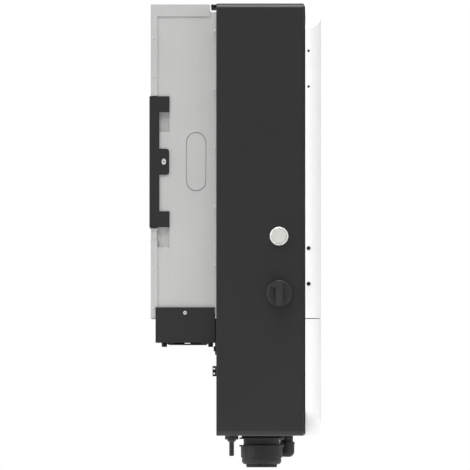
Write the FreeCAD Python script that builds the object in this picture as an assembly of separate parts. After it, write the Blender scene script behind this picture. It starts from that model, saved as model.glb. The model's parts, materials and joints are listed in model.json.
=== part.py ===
import FreeCAD, Part
import math
import os

# Wall-hung three-phase string inverter, built as an assembly of separate pieces.
# Millimetres. +Z is up, the front faces -Y, X runs across the width.
# The wall is the plane Y = 0 and the origin is the middle of the wall bracket's back face.
# "Wall distance" d is measured from the wall towards the front, so Y = -d.

V = FreeCAD.Vector
os.makedirs("parts", exist_ok=True)

# ---------------------------------------------------------------- driving sizes
HALF_WIDTH = 260.0
TOP_Z = 242.5
CASE_HEIGHT = 663.0
DUCT_DEPTH = 102.7
CASE_DEPTH = 134.5
CASE_WALL = 2.5
CASE_EDGE_R = 8.0
CASE_RIM_R = 1.5
RIM_WIDTH = 16.0
BOTTOM_Z = TOP_Z - CASE_HEIGHT
CASE_REAR = DUCT_DEPTH
CASE_FRONT = CASE_REAR + CASE_DEPTH
INNER_X = HALF_WIDTH - CASE_WALL
INNER_TOP = TOP_Z - CASE_WALL
INNER_BOTTOM = BOTTOM_Z + CASE_WALL
INNER_REAR = CASE_REAR + CASE_WALL
RIM_BACK = CASE_FRONT - CASE_WALL

GASKET_T = 2.0
GASKET_INSET = 3.0
GASKET_WIDTH = 12.5
COVER_DEPTH = 24.0
COVER_BACK = CASE_FRONT + GASKET_T
COVER_FRONT = COVER_BACK + COVER_DEPTH
COVER_WALL = 2.5
COVER_SIDE_R = 20.0
COVER_TOP_R = 3.0
CORNER_CUT = 38.0
SEAM_Z = -240.7
SEAM_GAP = 1.2
LID_INSET = 4.0
LID_T = 2.5
LID_FRONT = COVER_BACK + LID_T

# Clearances and fits
CLEAR = 0.3
SCREW_CLEAR = 0.15
RUN_CLEAR = 0.05
SLIDE_CLEAR = 0.2
TOUCH_CLEAR = 0.05

# Heat sink, fins down the duct
FIN_T = 1.8
FIN_PITCH = 9.6
FIN_COUNT = 45
FIN_TIP = 15.4
FIN_TOP = 225.0
FIN_BOTTOM = -235.0
SINK_X = 218.0
SINK_FLANGE_T = 2.5
SINK_LIP = 3.0
PAD_X = 205.0
PAD_MARGIN = 10.0
PAD_T = 8.0
SINK_TOP = FIN_TOP + SINK_LIP
SINK_BOTTOM = FIN_BOTTOM - SINK_LIP
PAD_TOP = FIN_TOP - PAD_MARGIN
PAD_BOTTOM = FIN_BOTTOM + PAD_MARGIN
PAD_FRONT = CASE_REAR + PAD_T

# Cooling duct behind the case
SHEET = 1.5
DUCT_X = 225.0
DUCT_BACK = 2.0
DUCT_BOTTOM = FIN_BOTTOM - 5.5
FLANGE_D = 12.3
RECESS_TOP = 101.3
RECESS_BOTTOM = -121.0
DUCT_TOP = TOP_Z - 1.1
TOP_FLANGE_Z = 222.9
TOP_PLATE_D = CASE_REAR - 10.3
NOTCH_Z = 229.5
PLATE_FLANGE_W = 12.0
PANEL_D = 71.9
PANEL_W = 31.4
PANEL_H = 90.4
PANEL_DEPTH = 2.0
CUTOUT_D = 31.0
CUTOUT_H = 55.0

# Wall bracket
BRACKET_T = 2.0
BRACKET_X = DUCT_X + BRACKET_T + CLEAR
BRACKET_Z = 100.5
STRIP_D = 15.3
TAB_D = 30.3
TAB_H = 24.5
LOWER_TAB_TOP = TAB_H - BRACKET_Z
EAR_HALF_H = 20.0
EAR_R = 4.7
HOOK_IN = 7.8
HANGER_T = 3.0
PAN_T = 1.5
LOCK_D = 22.2
LOCK_R = 2.5
WALL_BOLT_X = 160.0
WALL_BOLT_Z = 75.0
WALL_BOLT_R = 5.5

# Fans, and the tray that hangs them under the heat sink
FAN_SIZE = 80.0
FAN_PITCH = 105.0
FAN_D = 58.0
FAN_DEPTH = 38.0
FAN_UNDER_FINS = 2.6
FAN_BORE_R = FAN_SIZE / 2 - 2.0
FAN_HOLE_PITCH = FAN_SIZE - 8.5
FAN_XS = [FAN_PITCH * (k - 1.5) for k in range(4)]
FAN_SCREW_R = 2.0
FAN_HEAD_R = 3.55
FAN_HEAD_H = 2.8
ROTOR_R = FAN_BORE_R - 1.0
HUB_R = 16.0
FAN_SHAFT_R = 1.55
BLADES = 7
GUARD_H = 3.4
GUARD_RING_T = 2.0
GUARD_BAR_T = 1.6
GUARD_RADII = (12.0, 21.0, 29.6)
TRAY_T = 2.0
TRAY_X = DUCT_X + SHEET + CLEAR + TRAY_T
TRAY_BACK = 9.4
TRAY_BOTTOM = FIN_BOTTOM - FAN_UNDER_FINS - FAN_DEPTH - TRAY_T
TRAY_TOP = DUCT_BOTTOM + 17.0
TRAY_PLATE_X = 215.0
TRAY_PLATE_BOTTOM = TRAY_BOTTOM - 18.3

# Start button on the side wall
BUTTON_D = CASE_REAR + 96.3
BUTTON_Z = -114.4
BEZEL_R = 14.25
BEZEL_H = 5.0
CAP_R = 11.2
STEM_R = 3.95
BARREL_R = 10.9
BARREL_L = 24.0
BUTTON_TRAVEL = 2.5

# Rotary DC switch on the side wall
SWITCH_D = CASE_REAR + 96.6
SWITCH_Z = -201.9
KNOB_R = 20.0
KNOB_BASE_H = 8.0
KNOB_H = 27.0
GRIP_W = 10.8
GRIP_L = 38.0
SWITCH_SHAFT_R = 3.0
SWITCH_BODY = 48.0
SWITCH_BODY_L = 57.5

# Connectors and glands under the case; rows placed from the case's rear face
LOW = BOTTOM_Z
UP = INNER_BOTTOM
PV_D = CASE_REAR + 23.5
PV_X0 = -220.0
PV_PITCH = 22.0
PV_COUNT = 16
PV_HEAD_R = 6.9
PV_STEM_R = 3.7
PV_HEAD_BOTTOM = LOW - 7.0
PV_STEM_BOTTOM = LOW - 31.2
PV_SHANK_R = 5.9
BATTERY_XS = (165.0, 200.0)
BATTERY_SHANK_R = 8.8
AC_D = CASE_REAR + 69.9
AC_XS = (60.0, 142.0)
AC_THREAD_R = 25.0
AC_FLANGE_R = AC_THREAD_R + 9.5
AC_CABLE_R = 15.0
COM_D = CASE_REAR + 108.9
COM_XS = (203.0, 235.0)
COM_THREAD_R = 8.0
COM_CABLE_R = 4.0
NUT_T = 6.0
PORT_X = 220.0
PORT_D = CASE_REAR + 62.3
PORT_SHANK_R = 7.9
VALVE_X = AC_XS[-1] + AC_FLANGE_R - 0.5
VALVE_D = CASE_REAR + 97.3
VALVE_SHANK_R = 4.9
EARTH_Z = -380.0
EARTH_D = CASE_REAR + 67.3
EARTH_R = 2.95

# Boards inside the case
BOARD_T = 1.6
MODULE_T = 13.3
POWER_BOARD_D = PAD_FRONT + MODULE_T
CONTROL_BOARD_D = POWER_BOARD_D + 74.0


# ---------------------------------------------------------------- helpers
def slab(x0, x1, d0, d1, z0, z1):
    """Box between two X values, two wall distances and two heights."""
    return Part.makeBox(x1 - x0, d1 - d0, z1 - z0, V(x0, -d1, z0))


def post(x, d0, d1, z, r):
    """Cylinder along the wall normal, from wall distance d0 out to d1."""
    return Part.makeCylinder(r, d1 - d0, V(x, -d0, z), V(0, -1, 0))


def column(x, d, z0, z1, r):
    """Upright cylinder."""
    return Part.makeCylinder(r, z1 - z0, V(x, -d, z0), V(0, 0, 1))


def spindle(x0, x1, d, z, r):
    """Cylinder along X."""
    return Part.makeCylinder(r, x1 - x0, V(x0, -d, z), V(1, 0, 0))


def plate_xz(points, d0, d1):
    """Outline of (x, z) points given thickness from wall distance d0 to d1."""
    ring = [V(x, -d0, z) for x, z in points]
    face = Part.Face(Part.makePolygon(ring + ring[:1]))
    return face.extrude(V(0, -(d1 - d0), 0))


def plate_dz(points, x0, x1):
    """Outline of (wall distance, z) points given thickness from x0 to x1."""
    ring = [V(x0, -d, z) for d, z in points]
    face = Part.Face(Part.makePolygon(ring + ring[:1]))
    return face.extrude(V(x1 - x0, 0, 0))


def plate_xd(points, z0, z1):
    """Outline of (x, wall distance) points given height from z0 to z1."""
    ring = [V(x, -d, z0) for x, d in points]
    face = Part.Face(Part.makePolygon(ring + ring[:1]))
    return face.extrude(V(0, 0, z1 - z0))


def turned(points, x, d):
    """Solid of revolution about an upright axis, from (radius, z) points."""
    ring = [V(x + r, -d, z) for r, z in points]
    face = Part.Face(Part.makePolygon(ring + ring[:1]))
    return face.revolve(V(x, -d, 0), V(0, 0, 1), 360)


def hex_column(x, d, z0, z1, across):
    """Upright hexagonal bar, size given across the flats."""
    r = across / math.sqrt(3)
    points = []
    for k in range(6):
        a = math.radians(60 * k)
        points.append((x + r * math.cos(a), d + r * math.sin(a)))
    return plate_xd(points, z0, z1)


def fuse(shapes):
    """One solid from touching or overlapping shapes."""
    return shapes[0].multiFuse(shapes[1:]).removeSplitter()


def less(shape, tools):
    """Shape with every tool cut away."""
    return shape.cut(Part.Compound(tools))


def mirrored(shape):
    """Copy on the other side of the middle plane."""
    return shape.mirror(V(0, 0, 0), V(1, 0, 0))


def both(shape):
    """The shape and its mirror image, as one group."""
    return Part.Compound([shape, mirrored(shape)])


def along(shape, axis, pick=None):
    """Straight edges parallel to an axis, filtered by a test on their middle point."""
    found = []
    for edge in shape.Edges:
        if len(edge.Vertexes) != 2:
            continue
        way = edge.Vertexes[1].Point.sub(edge.Vertexes[0].Point)
        if way.Length < 0.01 or way.cross(axis).Length > 0.001 * way.Length:
            continue
        if pick is None or pick(edge.CenterOfMass):
            found.append(edge)
    return found


def obround_x(x0, x1, d, z, width, height):
    """Bar along X with a slot-shaped section, taller than wide."""
    r = width / 2
    mid = height / 2 - r
    body = slab(x0, x1, d - r, d + r, z - mid, z + mid)
    return fuse([body, spindle(x0, x1, d, z + mid, r), spindle(x0, x1, d, z - mid, r)])


def save(name, shape):
    shape.exportStep("parts/" + name + ".step")


X_AXIS = V(1, 0, 0)
Y_AXIS = V(0, 1, 0)
Z_AXIS = V(0, 0, 1)


def outline(inset):
    """Front outline with 45 degree cut corners, moved inwards by an inset."""
    x = HALF_WIDTH - inset
    top = TOP_Z - inset
    low = BOTTOM_Z + inset
    cut = CORNER_CUT - (2 - math.sqrt(2)) * inset
    return [
        (x, low + cut), (x, top - cut), (x - cut, top), (cut - x, top),
        (-x, top - cut), (-x, low + cut), (cut - x, low), (x - cut, low),
    ]


# ---------------------------------------------------------------- case shell
pv_xs = [PV_X0 + PV_PITCH * k for k in range(PV_COUNT)]
SWITCH_BOSS_R = 7.5

case = slab(-HALF_WIDTH, HALF_WIDTH, CASE_REAR, CASE_FRONT, BOTTOM_Z, TOP_Z)
case = case.makeFillet(CASE_EDGE_R, along(case, Y_AXIS))
end_loops = [e for e in case.Edges if abs(e.BoundBox.YLength) < 0.01]
case = case.makeFillet(CASE_RIM_R, end_loops)
room = slab(-INNER_X, INNER_X, INNER_REAR, RIM_BACK, INNER_BOTTOM, INNER_TOP)
room = room.makeFillet(CASE_EDGE_R - CASE_WALL, along(room, Y_AXIS))
mouth = plate_xz(outline(RIM_WIDTH), RIM_BACK - 1, CASE_FRONT + 1)
window = slab(
    -PAD_X - CLEAR, PAD_X + CLEAR, CASE_REAR - 1, INNER_REAR + 1,
    PAD_BOTTOM - CLEAR, PAD_TOP + CLEAR)
cuts = [room, mouth, window]
cuts.append(spindle(-HALF_WIDTH - 1, -INNER_X + 1, BUTTON_D, BUTTON_Z, BARREL_R + CLEAR))
cuts.append(spindle(-HALF_WIDTH - 1, -INNER_X + 1, SWITCH_D, SWITCH_Z, SWITCH_BOSS_R + CLEAR))
cuts.append(spindle(INNER_X - 1, HALF_WIDTH + 1, EARTH_D, EARTH_Z, EARTH_R + TOUCH_CLEAR))
floor = (BOTTOM_Z - 1, INNER_BOTTOM + 1)
for x in pv_xs:
    cuts.append(column(x, PV_D, floor[0], floor[1], PV_SHANK_R + CLEAR))
for x in BATTERY_XS:
    cuts.append(column(x, PV_D, floor[0], floor[1], BATTERY_SHANK_R + CLEAR))
for x in AC_XS:
    cuts.append(column(x, AC_D, floor[0], floor[1], AC_THREAD_R + CLEAR))
for x in COM_XS:
    cuts.append(column(x, COM_D, floor[0], floor[1], COM_THREAD_R + CLEAR))
cuts.append(column(PORT_X, PORT_D, floor[0], floor[1], PORT_SHANK_R + CLEAR))
cuts.append(column(VALVE_X, VALVE_D, floor[0], floor[1], VALVE_SHANK_R + CLEAR))

# Lid screws stand on a line half way across the rim
LID_SCREW_INSET = 9.5
LID_SCREW_R = 2.5
LID_HEAD_R = 4.3
LID_HEAD_H = 3.4
side_x = HALF_WIDTH - LID_SCREW_INSET
lid_spots = []
LOWER_LID_Z = BOTTOM_Z + 58.0
for z in (193.0, 97.0, 14.0, -69.0, -156.0, -228.0, -300.0, LOWER_LID_Z):
    lid_spots += [(side_x, z), (-side_x, z)]
for x in (-195.0, -65.0, 65.0, 195.0):
    lid_spots += [(x, TOP_Z - LID_SCREW_INSET), (x, BOTTOM_Z + LID_SCREW_INSET)]
lid_holes = [post(x, RIM_BACK - 1, LID_FRONT + 1, z, LID_SCREW_R + SCREW_CLEAR) for x, z in lid_spots]
cuts += lid_holes

# Screws that hold the duct's side plates to the rear wall
FLANGE_SCREW_X = 232.8
FLANGE_SCREW_R = 1.9
flange_zs = (200.0, 110.0, 20.0, -70.0, -160.0, -230.0)
for z in flange_zs:
    for x in (FLANGE_SCREW_X, -FLANGE_SCREW_X):
        cuts.append(post(x, CASE_REAR - 1, INNER_REAR + 1, z, FLANGE_SCREW_R + TOUCH_CLEAR))
# Screws that hold the fan tray's mounting plate to the rear wall
tray_plate_xs = (-195.0, -105.0, 0.0, 105.0, 195.0)
TRAY_PLATE_SCREW_Z = TRAY_BOTTOM - 9.4
for x in tray_plate_xs:
    cuts.append(post(x, CASE_REAR - 1, INNER_REAR + 1, TRAY_PLATE_SCREW_Z, FLANGE_SCREW_R + TOUCH_CLEAR))
case = less(case, cuts)

# Welded on the rear wall: a weather lip over the duct's top, and on the switch side an ear
# with two tie holes
LIP_X = 215.0
EAR_Z0 = -329.3
EAR_Z1 = -313.5
lip_strip = slab(-LIP_X, LIP_X, CASE_REAR - 8.1, CASE_REAR, TOP_Z - 3.0, TOP_Z - 1.0)
tie_ear = fuse([
    slab(198.0, 200.0, CASE_REAR - 5.8, CASE_REAR, EAR_Z0, EAR_Z1),
    slab(186.0, 200.0, CASE_REAR - SHEET, CASE_REAR, EAR_Z0, EAR_Z1)])
for z in (EAR_Z0 + 4.3, EAR_Z1 - 4.2):
    tie_ear = tie_ear.cut(spindle(197.0, 201.0, CASE_REAR - 3.4, z, 1.25))
save("case_shell", fuse([case, lip_strip, mirrored(tie_ear)]))

# ---------------------------------------------------------------- front: gasket, lid, covers
gasket = plate_xz(outline(GASKET_INSET), CASE_FRONT, COVER_BACK)
gasket = less(gasket, [
    plate_xz(outline(GASKET_INSET + GASKET_WIDTH), CASE_FRONT - 1, COVER_BACK + 1)] + lid_holes)
save("lid_gasket", gasket)

lid = plate_xz(outline(LID_INSET), COVER_BACK, LID_FRONT)
save("inner_lid", less(lid, lid_holes))

lid_screws = []
for x, z in lid_spots:
    head = post(x, LID_FRONT, LID_FRONT + LID_HEAD_H, z, LID_HEAD_R)
    socket = post(x, LID_FRONT + LID_HEAD_H - 1.8, LID_FRONT + LID_HEAD_H + 1, z, 2.0)
    shank = post(x, RIM_BACK - 4, LID_FRONT, z, LID_SCREW_R)
    lid_screws.append(fuse([head, shank]).cut(socket))
save("lid_screws", Part.Compound(lid_screws))


def cover_bar(inset, z0, z1, front):
    """Upright bar with rounded front edges, trimmed by the cut-cornered outline."""
    x = HALF_WIDTH - inset
    bar = slab(-x, x, COVER_BACK, front, z0, z1)
    bar = bar.makeFillet(COVER_SIDE_R - inset, along(bar, Z_AXIS, lambda p: p.y < -(front - 0.5)))
    return bar.common(plate_xz(outline(inset), COVER_BACK, front))


COVER_SCREW_D = LID_FRONT + 2.5
UPPER_SCREW_R = 1.9
LOWER_SCREW_R = 3.0
COVER_SHANK_R = 1.5
upper_screw_zs = (169.7, 115.0)
lower_screw_zs = (-132.9, -187.5)
side_holes = []
for z in upper_screw_zs + lower_screw_zs:
    side_holes.append(spindle(-HALF_WIDTH - 1, HALF_WIDTH + 1, COVER_SCREW_D, z, COVER_SHANK_R + SCREW_CLEAR))
for z in upper_screw_zs:
    r = UPPER_SCREW_R + SCREW_CLEAR
    side_holes.append(spindle(-HALF_WIDTH - 1, -HALF_WIDTH + 1.2, COVER_SCREW_D, z, r))
    side_holes.append(spindle(HALF_WIDTH - 1.2, HALF_WIDTH + 1, COVER_SCREW_D, z, r))

seam_top = SEAM_Z + SEAM_GAP / 2
seam_low = SEAM_Z - SEAM_GAP / 2
hollow_front = COVER_FRONT - COVER_WALL
lid_room = plate_xz(outline(LID_INSET - 1.0), COVER_BACK, LID_FRONT + 0.5)

# Indicator window in the upper cover
LIGHT_Z = 150.0
LIGHT_X = 32.0
LIGHT_H = 8.0
light_hole = slab(-LIGHT_X, LIGHT_X, hollow_front - 1, COVER_FRONT + 1,
                  LIGHT_Z - LIGHT_H / 2, LIGHT_Z + LIGHT_H / 2)

upper = cover_bar(0.0, seam_top, TOP_Z, COVER_FRONT)
top_edge = along(upper, X_AXIS, lambda p: p.z > TOP_Z - 0.1 and p.y < -(COVER_FRONT - 0.1))
upper = upper.makeFillet(COVER_TOP_R, top_edge)
hollow = cover_bar(COVER_WALL, seam_top + COVER_WALL, TOP_Z - COVER_WALL, hollow_front)
upper = less(upper, [hollow, lid_room, light_hole] + side_holes)
save("upper_cover", upper)

# Captive screws of the lower (wiring) cover, one at each side
LOWER_FIX_X = 205.0
LOWER_FIX_Z = -330.0
LOWER_FIX_R = 3.0
lower = cover_bar(0.0, BOTTOM_Z, seam_low, COVER_FRONT)
low_edge = along(lower, X_AXIS, lambda p: p.z < BOTTOM_Z + 0.1 and p.y < -(COVER_FRONT - 0.1))
lower = lower.makeFillet(COVER_TOP_R, low_edge)
hollow = cover_bar(COVER_WALL, BOTTOM_Z + COVER_WALL, seam_low - COVER_WALL, hollow_front)
fix_holes = []
for x in (LOWER_FIX_X, -LOWER_FIX_X):
    fix_holes.append(post(x, hollow_front - 1, COVER_FRONT + 1, LOWER_FIX_Z, LOWER_FIX_R + SCREW_CLEAR))
    fix_holes.append(post(x, COVER_FRONT - 1.2, COVER_FRONT + 1, LOWER_FIX_Z, 5.6))
save("lower_cover", less(lower, [hollow, lid_room] + fix_holes))

posts = []
screws = []
for x in (LOWER_FIX_X, -LOWER_FIX_X):
    tube = post(x, LID_FRONT, hollow_front, LOWER_FIX_Z, 6.0)
    posts.append(tube.cut(post(x, LID_FRONT + 4, hollow_front + 1, LOWER_FIX_Z, LOWER_FIX_R + TOUCH_CLEAR)))
    head = post(x, COVER_FRONT - 1.2, COVER_FRONT, LOWER_FIX_Z, 5.4)
    slot = slab(x - 4.5, x + 4.5, COVER_FRONT - 0.7, COVER_FRONT + 1, LOWER_FIX_Z - 0.6, LOWER_FIX_Z + 0.6)
    shank = post(x, LID_FRONT + 6, COVER_FRONT - 1.2, LOWER_FIX_Z, LOWER_FIX_R)
    screws.append(fuse([head, shank]).cut(slot))

# Blocks on the lid that take the upper cover's side screws
BLOCK_L = 10.0
inside_wall = HALF_WIDTH - COVER_WALL
for z in upper_screw_zs + lower_screw_zs:
    block = slab(inside_wall - BLOCK_L, inside_wall, LID_FRONT, LID_FRONT + 8, z - 8, z + 8)
    block = block.common(cover_bar(COVER_WALL + CLEAR, z - 10, z + 10, hollow_front))
    hole = spindle(inside_wall - BLOCK_L - 1, inside_wall + 1, COVER_SCREW_D, z, COVER_SHANK_R + TOUCH_CLEAR)
    block = block.cut(hole)
    posts += [block, mirrored(block)]
save("cover_mounts", Part.Compound(posts))

for z in upper_screw_zs:
    head = spindle(HALF_WIDTH - 1.2, HALF_WIDTH - 0.2, COVER_SCREW_D, z, UPPER_SCREW_R)
    shank = spindle(inside_wall - 8, HALF_WIDTH - 1.2, COVER_SCREW_D, z, COVER_SHANK_R)
    screw = fuse([head, shank])
    screws += [screw, mirrored(screw)]
for z in lower_screw_zs:
    head = spindle(HALF_WIDTH, HALF_WIDTH + 1.0, COVER_SCREW_D, z, LOWER_SCREW_R)
    shank = spindle(inside_wall - 8, HALF_WIDTH, COVER_SCREW_D, z, COVER_SHANK_R)
    screw = fuse([head, shank])
    screws += [screw, mirrored(screw)]
save("cover_screws", Part.Compound(screws))

lens = slab(-LIGHT_X + CLEAR, LIGHT_X - CLEAR, hollow_front, COVER_FRONT,
            LIGHT_Z - LIGHT_H / 2 + CLEAR, LIGHT_Z + LIGHT_H / 2 - CLEAR)
lip = slab(-LIGHT_X - 2, LIGHT_X + 2, hollow_front - 1.5, hollow_front,
           LIGHT_Z - LIGHT_H / 2 - 2, LIGHT_Z + LIGHT_H / 2 + 2)
save("indicator_lens", fuse([lens, lip]))

LED_BOARD_D = LID_FRONT + 8.3
led_board = slab(-40, 40, LED_BOARD_D, LED_BOARD_D + BOARD_T, LIGHT_Z - 9, LIGHT_Z + 9)
leds = [slab(x - 2.5, x + 2.5, LED_BOARD_D + BOARD_T, LED_BOARD_D + BOARD_T + 1.4,
             LIGHT_Z - 2.5, LIGHT_Z + 2.5) for x in (-24.0, -8.0, 8.0, 24.0)]
feet = [post(x, LID_FRONT, LED_BOARD_D, LIGHT_Z, 3.5) for x in (-35.0, 35.0)]
save("indicator_board", fuse([led_board] + leds + feet))

# ---------------------------------------------------------------- cooling duct
recess_floor = (FLANGE_D, FLANGE_D + SHEET)
profile = [
    (DUCT_BACK, DUCT_BOTTOM), (DUCT_BACK, RECESS_BOTTOM),
    (FLANGE_D, RECESS_BOTTOM), (FLANGE_D, RECESS_TOP),
    (DUCT_BACK, RECESS_TOP), (DUCT_BACK, DUCT_TOP),
    (TOP_PLATE_D, DUCT_TOP), (TOP_PLATE_D, DUCT_TOP - SHEET),
    (DUCT_BACK + SHEET, DUCT_TOP - SHEET), (DUCT_BACK + SHEET, RECESS_TOP + SHEET),
    (recess_floor[1], RECESS_TOP + SHEET), (recess_floor[1], RECESS_BOTTOM - SHEET),
    (DUCT_BACK + SHEET, RECESS_BOTTOM - SHEET), (DUCT_BACK + SHEET, DUCT_BOTTOM),
]
skin = plate_dz(profile, -DUCT_X, DUCT_X)
flange_x = DUCT_X + SHEET
pieces = [skin]
for z0, z1 in ((DUCT_BOTTOM, RECESS_BOTTOM), (RECESS_TOP, DUCT_TOP)):
    edge = slab(DUCT_X, flange_x, DUCT_BACK, FLANGE_D, z0, z1)
    pieces += [edge, mirrored(edge)]
top_flange = slab(DUCT_X, flange_x, DUCT_BACK, TOP_PLATE_D, TOP_FLANGE_Z, DUCT_TOP)
pieces += [top_flange, mirrored(top_flange)]
# Below the bracket, a cheek closes each end of the recess
CHEEK_X = DUCT_X - 2 * SHEET
cheek = slab(CHEEK_X, CHEEK_X + SHEET, DUCT_BACK + CLEAR, FLANGE_D, RECESS_BOTTOM, -BRACKET_Z - 1.5)
pieces += [cheek, mirrored(cheek)]
rear_cover = fuse(pieces)
RIVET_R = 1.5
RIVET_HEAD_R = 2.6
RIVET_D = TRAY_BACK - RIVET_HEAD_R - CLEAR
rivet_zs = (-225.0, -166.0, 130.0, 190.0)
rivet_holes = [spindle(-flange_x - 1, flange_x + 1, RIVET_D, z, RIVET_R + TOUCH_CLEAR) for z in rivet_zs]
vents = []
for k in range(40):
    x = -195.0 + 10.0 * k
    vents.append(slab(x - 2.5, x + 2.5, 22.0, 82.0, DUCT_TOP - SHEET - 1, DUCT_TOP + 1))
hook_zs = (BRACKET_Z, LOWER_TAB_TOP)
hook_reach = BRACKET_X - HOOK_IN - CLEAR
entries = []
for z in hook_zs:
    entry = slab(hook_reach, flange_x + 1, FLANGE_D - 1, recess_floor[1] + 1, z - CUTOUT_H, z - TAB_H)
    entries += [entry, mirrored(entry)]
rear_cover = less(rear_cover, rivet_holes + vents + entries)
save("rear_cover", rear_cover)

flange_front = CASE_REAR
web_front = CASE_REAR - SHEET
web_in = DUCT_X - SHEET
web = plate_dz([
    (DUCT_BACK + SHEET, DUCT_BOTTOM), (DUCT_BACK + SHEET, RECESS_BOTTOM - SHEET),
    (recess_floor[1], RECESS_BOTTOM - SHEET), (recess_floor[1], RECESS_TOP + SHEET),
    (DUCT_BACK + SHEET, RECESS_TOP + SHEET), (DUCT_BACK + SHEET, DUCT_TOP - SHEET),
    (TOP_PLATE_D + 0.6, DUCT_TOP - SHEET), (TOP_PLATE_D + 0.6, NOTCH_Z),
    (flange_front, NOTCH_Z), (flange_front, DUCT_BOTTOM)], web_in, DUCT_X)
# The rear cover's skin reaches the same width, so the web stands just inside it
skin_room = rear_cover.copy()
flange = slab(DUCT_X, DUCT_X + PLATE_FLANGE_W, web_front, flange_front, DUCT_BOTTOM, NOTCH_Z)
dish = obround_x(web_in - PANEL_DEPTH, web_in, PANEL_D, 0.0, PANEL_W + 2 * SHEET, PANEL_H + 2 * SHEET)
plate = fuse([web, flange, dish])
dish_room = obround_x(DUCT_X - PANEL_DEPTH, DUCT_X + 1, PANEL_D, 0.0, PANEL_W, PANEL_H)
cut_rooms = []
for z in hook_zs:
    cut_rooms.append(slab(web_in - 1, DUCT_X + 1, recess_floor[1] - 1, CUTOUT_D, z - CUTOUT_H, z))
flange_holes = [post(FLANGE_SCREW_X, web_front - 1, flange_front + 1, z, FLANGE_SCREW_R + SCREW_CLEAR)
                for z in flange_zs]
TRAY_SCREW_D = 54.7
TRAY_SCREW_Z = DUCT_BOTTOM + 8.7
TRAY_SCREW_R = 1.6
tray_hole = spindle(web_in - 1, TRAY_X + 1, TRAY_SCREW_D, TRAY_SCREW_Z, TRAY_SCREW_R + TOUCH_CLEAR)
lock_hole = spindle(web_in - 10, BRACKET_X + 10, LOCK_D, 0.0, LOCK_R + TOUCH_CLEAR)
plate = less(plate, [dish_room, tray_hole, lock_hole, skin_room] + cut_rooms + flange_holes + rivet_holes)
save("duct_side_right", plate)
save("duct_side_left", mirrored(plate))

# Stout plates behind the side plates; their slots hang on the bracket's hooks.
# A shallow pan behind each slot keeps the duct's air in.
hanger = slab(web_in - HANGER_T, web_in, recess_floor[1], 46.0, -145.0, 117.0)
hanger = hanger.cut(spindle(web_in - 10, DUCT_X, LOCK_D, 0.0, LOCK_R + TOUCH_CLEAR))
HOOK_ROOM_D = TAB_D - BRACKET_T - 2 * CLEAR
pan_back = hook_reach - PAN_T
pans = []
for z in hook_zs:
    low = z - CUTOUT_H
    mouth_slot = slab(web_in - 10, DUCT_X, recess_floor[1] - 1, CUTOUT_D, low, z - TAB_H)
    seat = slab(web_in - 10, DUCT_X, HOOK_ROOM_D, CUTOUT_D, low, z)
    hanger = hanger.cut(mouth_slot).cut(seat)
    pan = slab(pan_back, web_in - HANGER_T, recess_floor[1], CUTOUT_D + PAN_T, low - PAN_T, z + PAN_T)
    pan_room = slab(hook_reach, web_in, recess_floor[1] - 1, CUTOUT_D, low, z)
    pans.append(pan.cut(pan_room))
hanger = fuse([hanger] + pans)
save("hanger_plates", both(hanger))

rivets = []
for z in rivet_zs:
    head = spindle(flange_x, flange_x + 0.8, RIVET_D, z, RIVET_HEAD_R)
    shank = spindle(web_in - 1, flange_x, RIVET_D, z, RIVET_R)
    rivets.append(both(fuse([head, shank])))
save("duct_rivets", Part.Compound(rivets))



def rear_screw(x, z, seat_d):
    """Pan-head screw into the case's rear wall, its head seated at a wall distance."""
    head = post(x, seat_d - 2.2, seat_d, z, 3.8)
    shank = post(x, seat_d, INNER_REAR + 4, z, FLANGE_SCREW_R)
    cross = slab(x - 2.2, x + 2.2, seat_d - 3, seat_d - 1.2, z - 0.5, z + 0.5)
    other = slab(x - 0.5, x + 0.5, seat_d - 3, seat_d - 1.2, z - 2.2, z + 2.2)
    return less(fuse([head, shank]), [cross, other])


rear_screws = []
for z in flange_zs:
    rear_screws += [rear_screw(FLANGE_SCREW_X, z, web_front), rear_screw(-FLANGE_SCREW_X, z, web_front)]
for x in tray_plate_xs:
    rear_screws.append(rear_screw(x, TRAY_PLATE_SCREW_Z, CASE_REAR - TRAY_T))
save("rear_wall_screws", Part.Compound(rear_screws))

# ---------------------------------------------------------------- heat sink
sink_front = CASE_REAR
sink_base = sink_front - SINK_FLANGE_T
sink = slab(-SINK_X, SINK_X, sink_base, sink_front, SINK_BOTTOM, SINK_TOP)
comb = []
for k in range(FIN_COUNT):
    x = (k - (FIN_COUNT - 1) / 2) * FIN_PITCH
    comb += [
        (x - FIN_T / 2, sink_base), (x - FIN_T / 2, FIN_TIP),
        (x + FIN_T / 2, FIN_TIP), (x + FIN_T / 2, sink_base)]
comb = [(-SINK_X, sink_base + 1)] + [(-SINK_X, sink_base)] + comb
comb += [(SINK_X, sink_base), (SINK_X, sink_base + 1)]
fins = plate_xd(comb, FIN_BOTTOM, FIN_TOP)
pad = slab(-PAD_X, PAD_X, sink_front, PAD_FRONT, PAD_BOTTOM, PAD_TOP)
save("heat_sink", fuse([sink, fins, pad]))

# ---------------------------------------------------------------- wall bracket
bracket = slab(-BRACKET_X, BRACKET_X, 0.0, BRACKET_T, -BRACKET_Z, BRACKET_Z)
bx0 = BRACKET_X - BRACKET_T
side = plate_dz([
    (0.0, -BRACKET_Z), (TAB_D, -BRACKET_Z), (TAB_D, LOWER_TAB_TOP), (STRIP_D, LOWER_TAB_TOP),
    (STRIP_D, -EAR_HALF_H), (TAB_D, -EAR_HALF_H), (TAB_D, EAR_HALF_H), (STRIP_D, EAR_HALF_H),
    (STRIP_D, BRACKET_Z - TAB_H), (TAB_D, BRACKET_Z - TAB_H), (TAB_D, BRACKET_Z), (0.0, BRACKET_Z),
], bx0, BRACKET_X)
ear_edges = along(side, X_AXIS, lambda p: abs(abs(p.z) - EAR_HALF_H) < 0.1 and p.y < -(TAB_D - 0.1))
side = side.makeFillet(EAR_R, ear_edges)
hooks = []
for z in hook_zs:
    hooks.append(slab(BRACKET_X - HOOK_IN, bx0 + 0.5, TAB_D - BRACKET_T, TAB_D, z - TAB_H, z))
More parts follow.
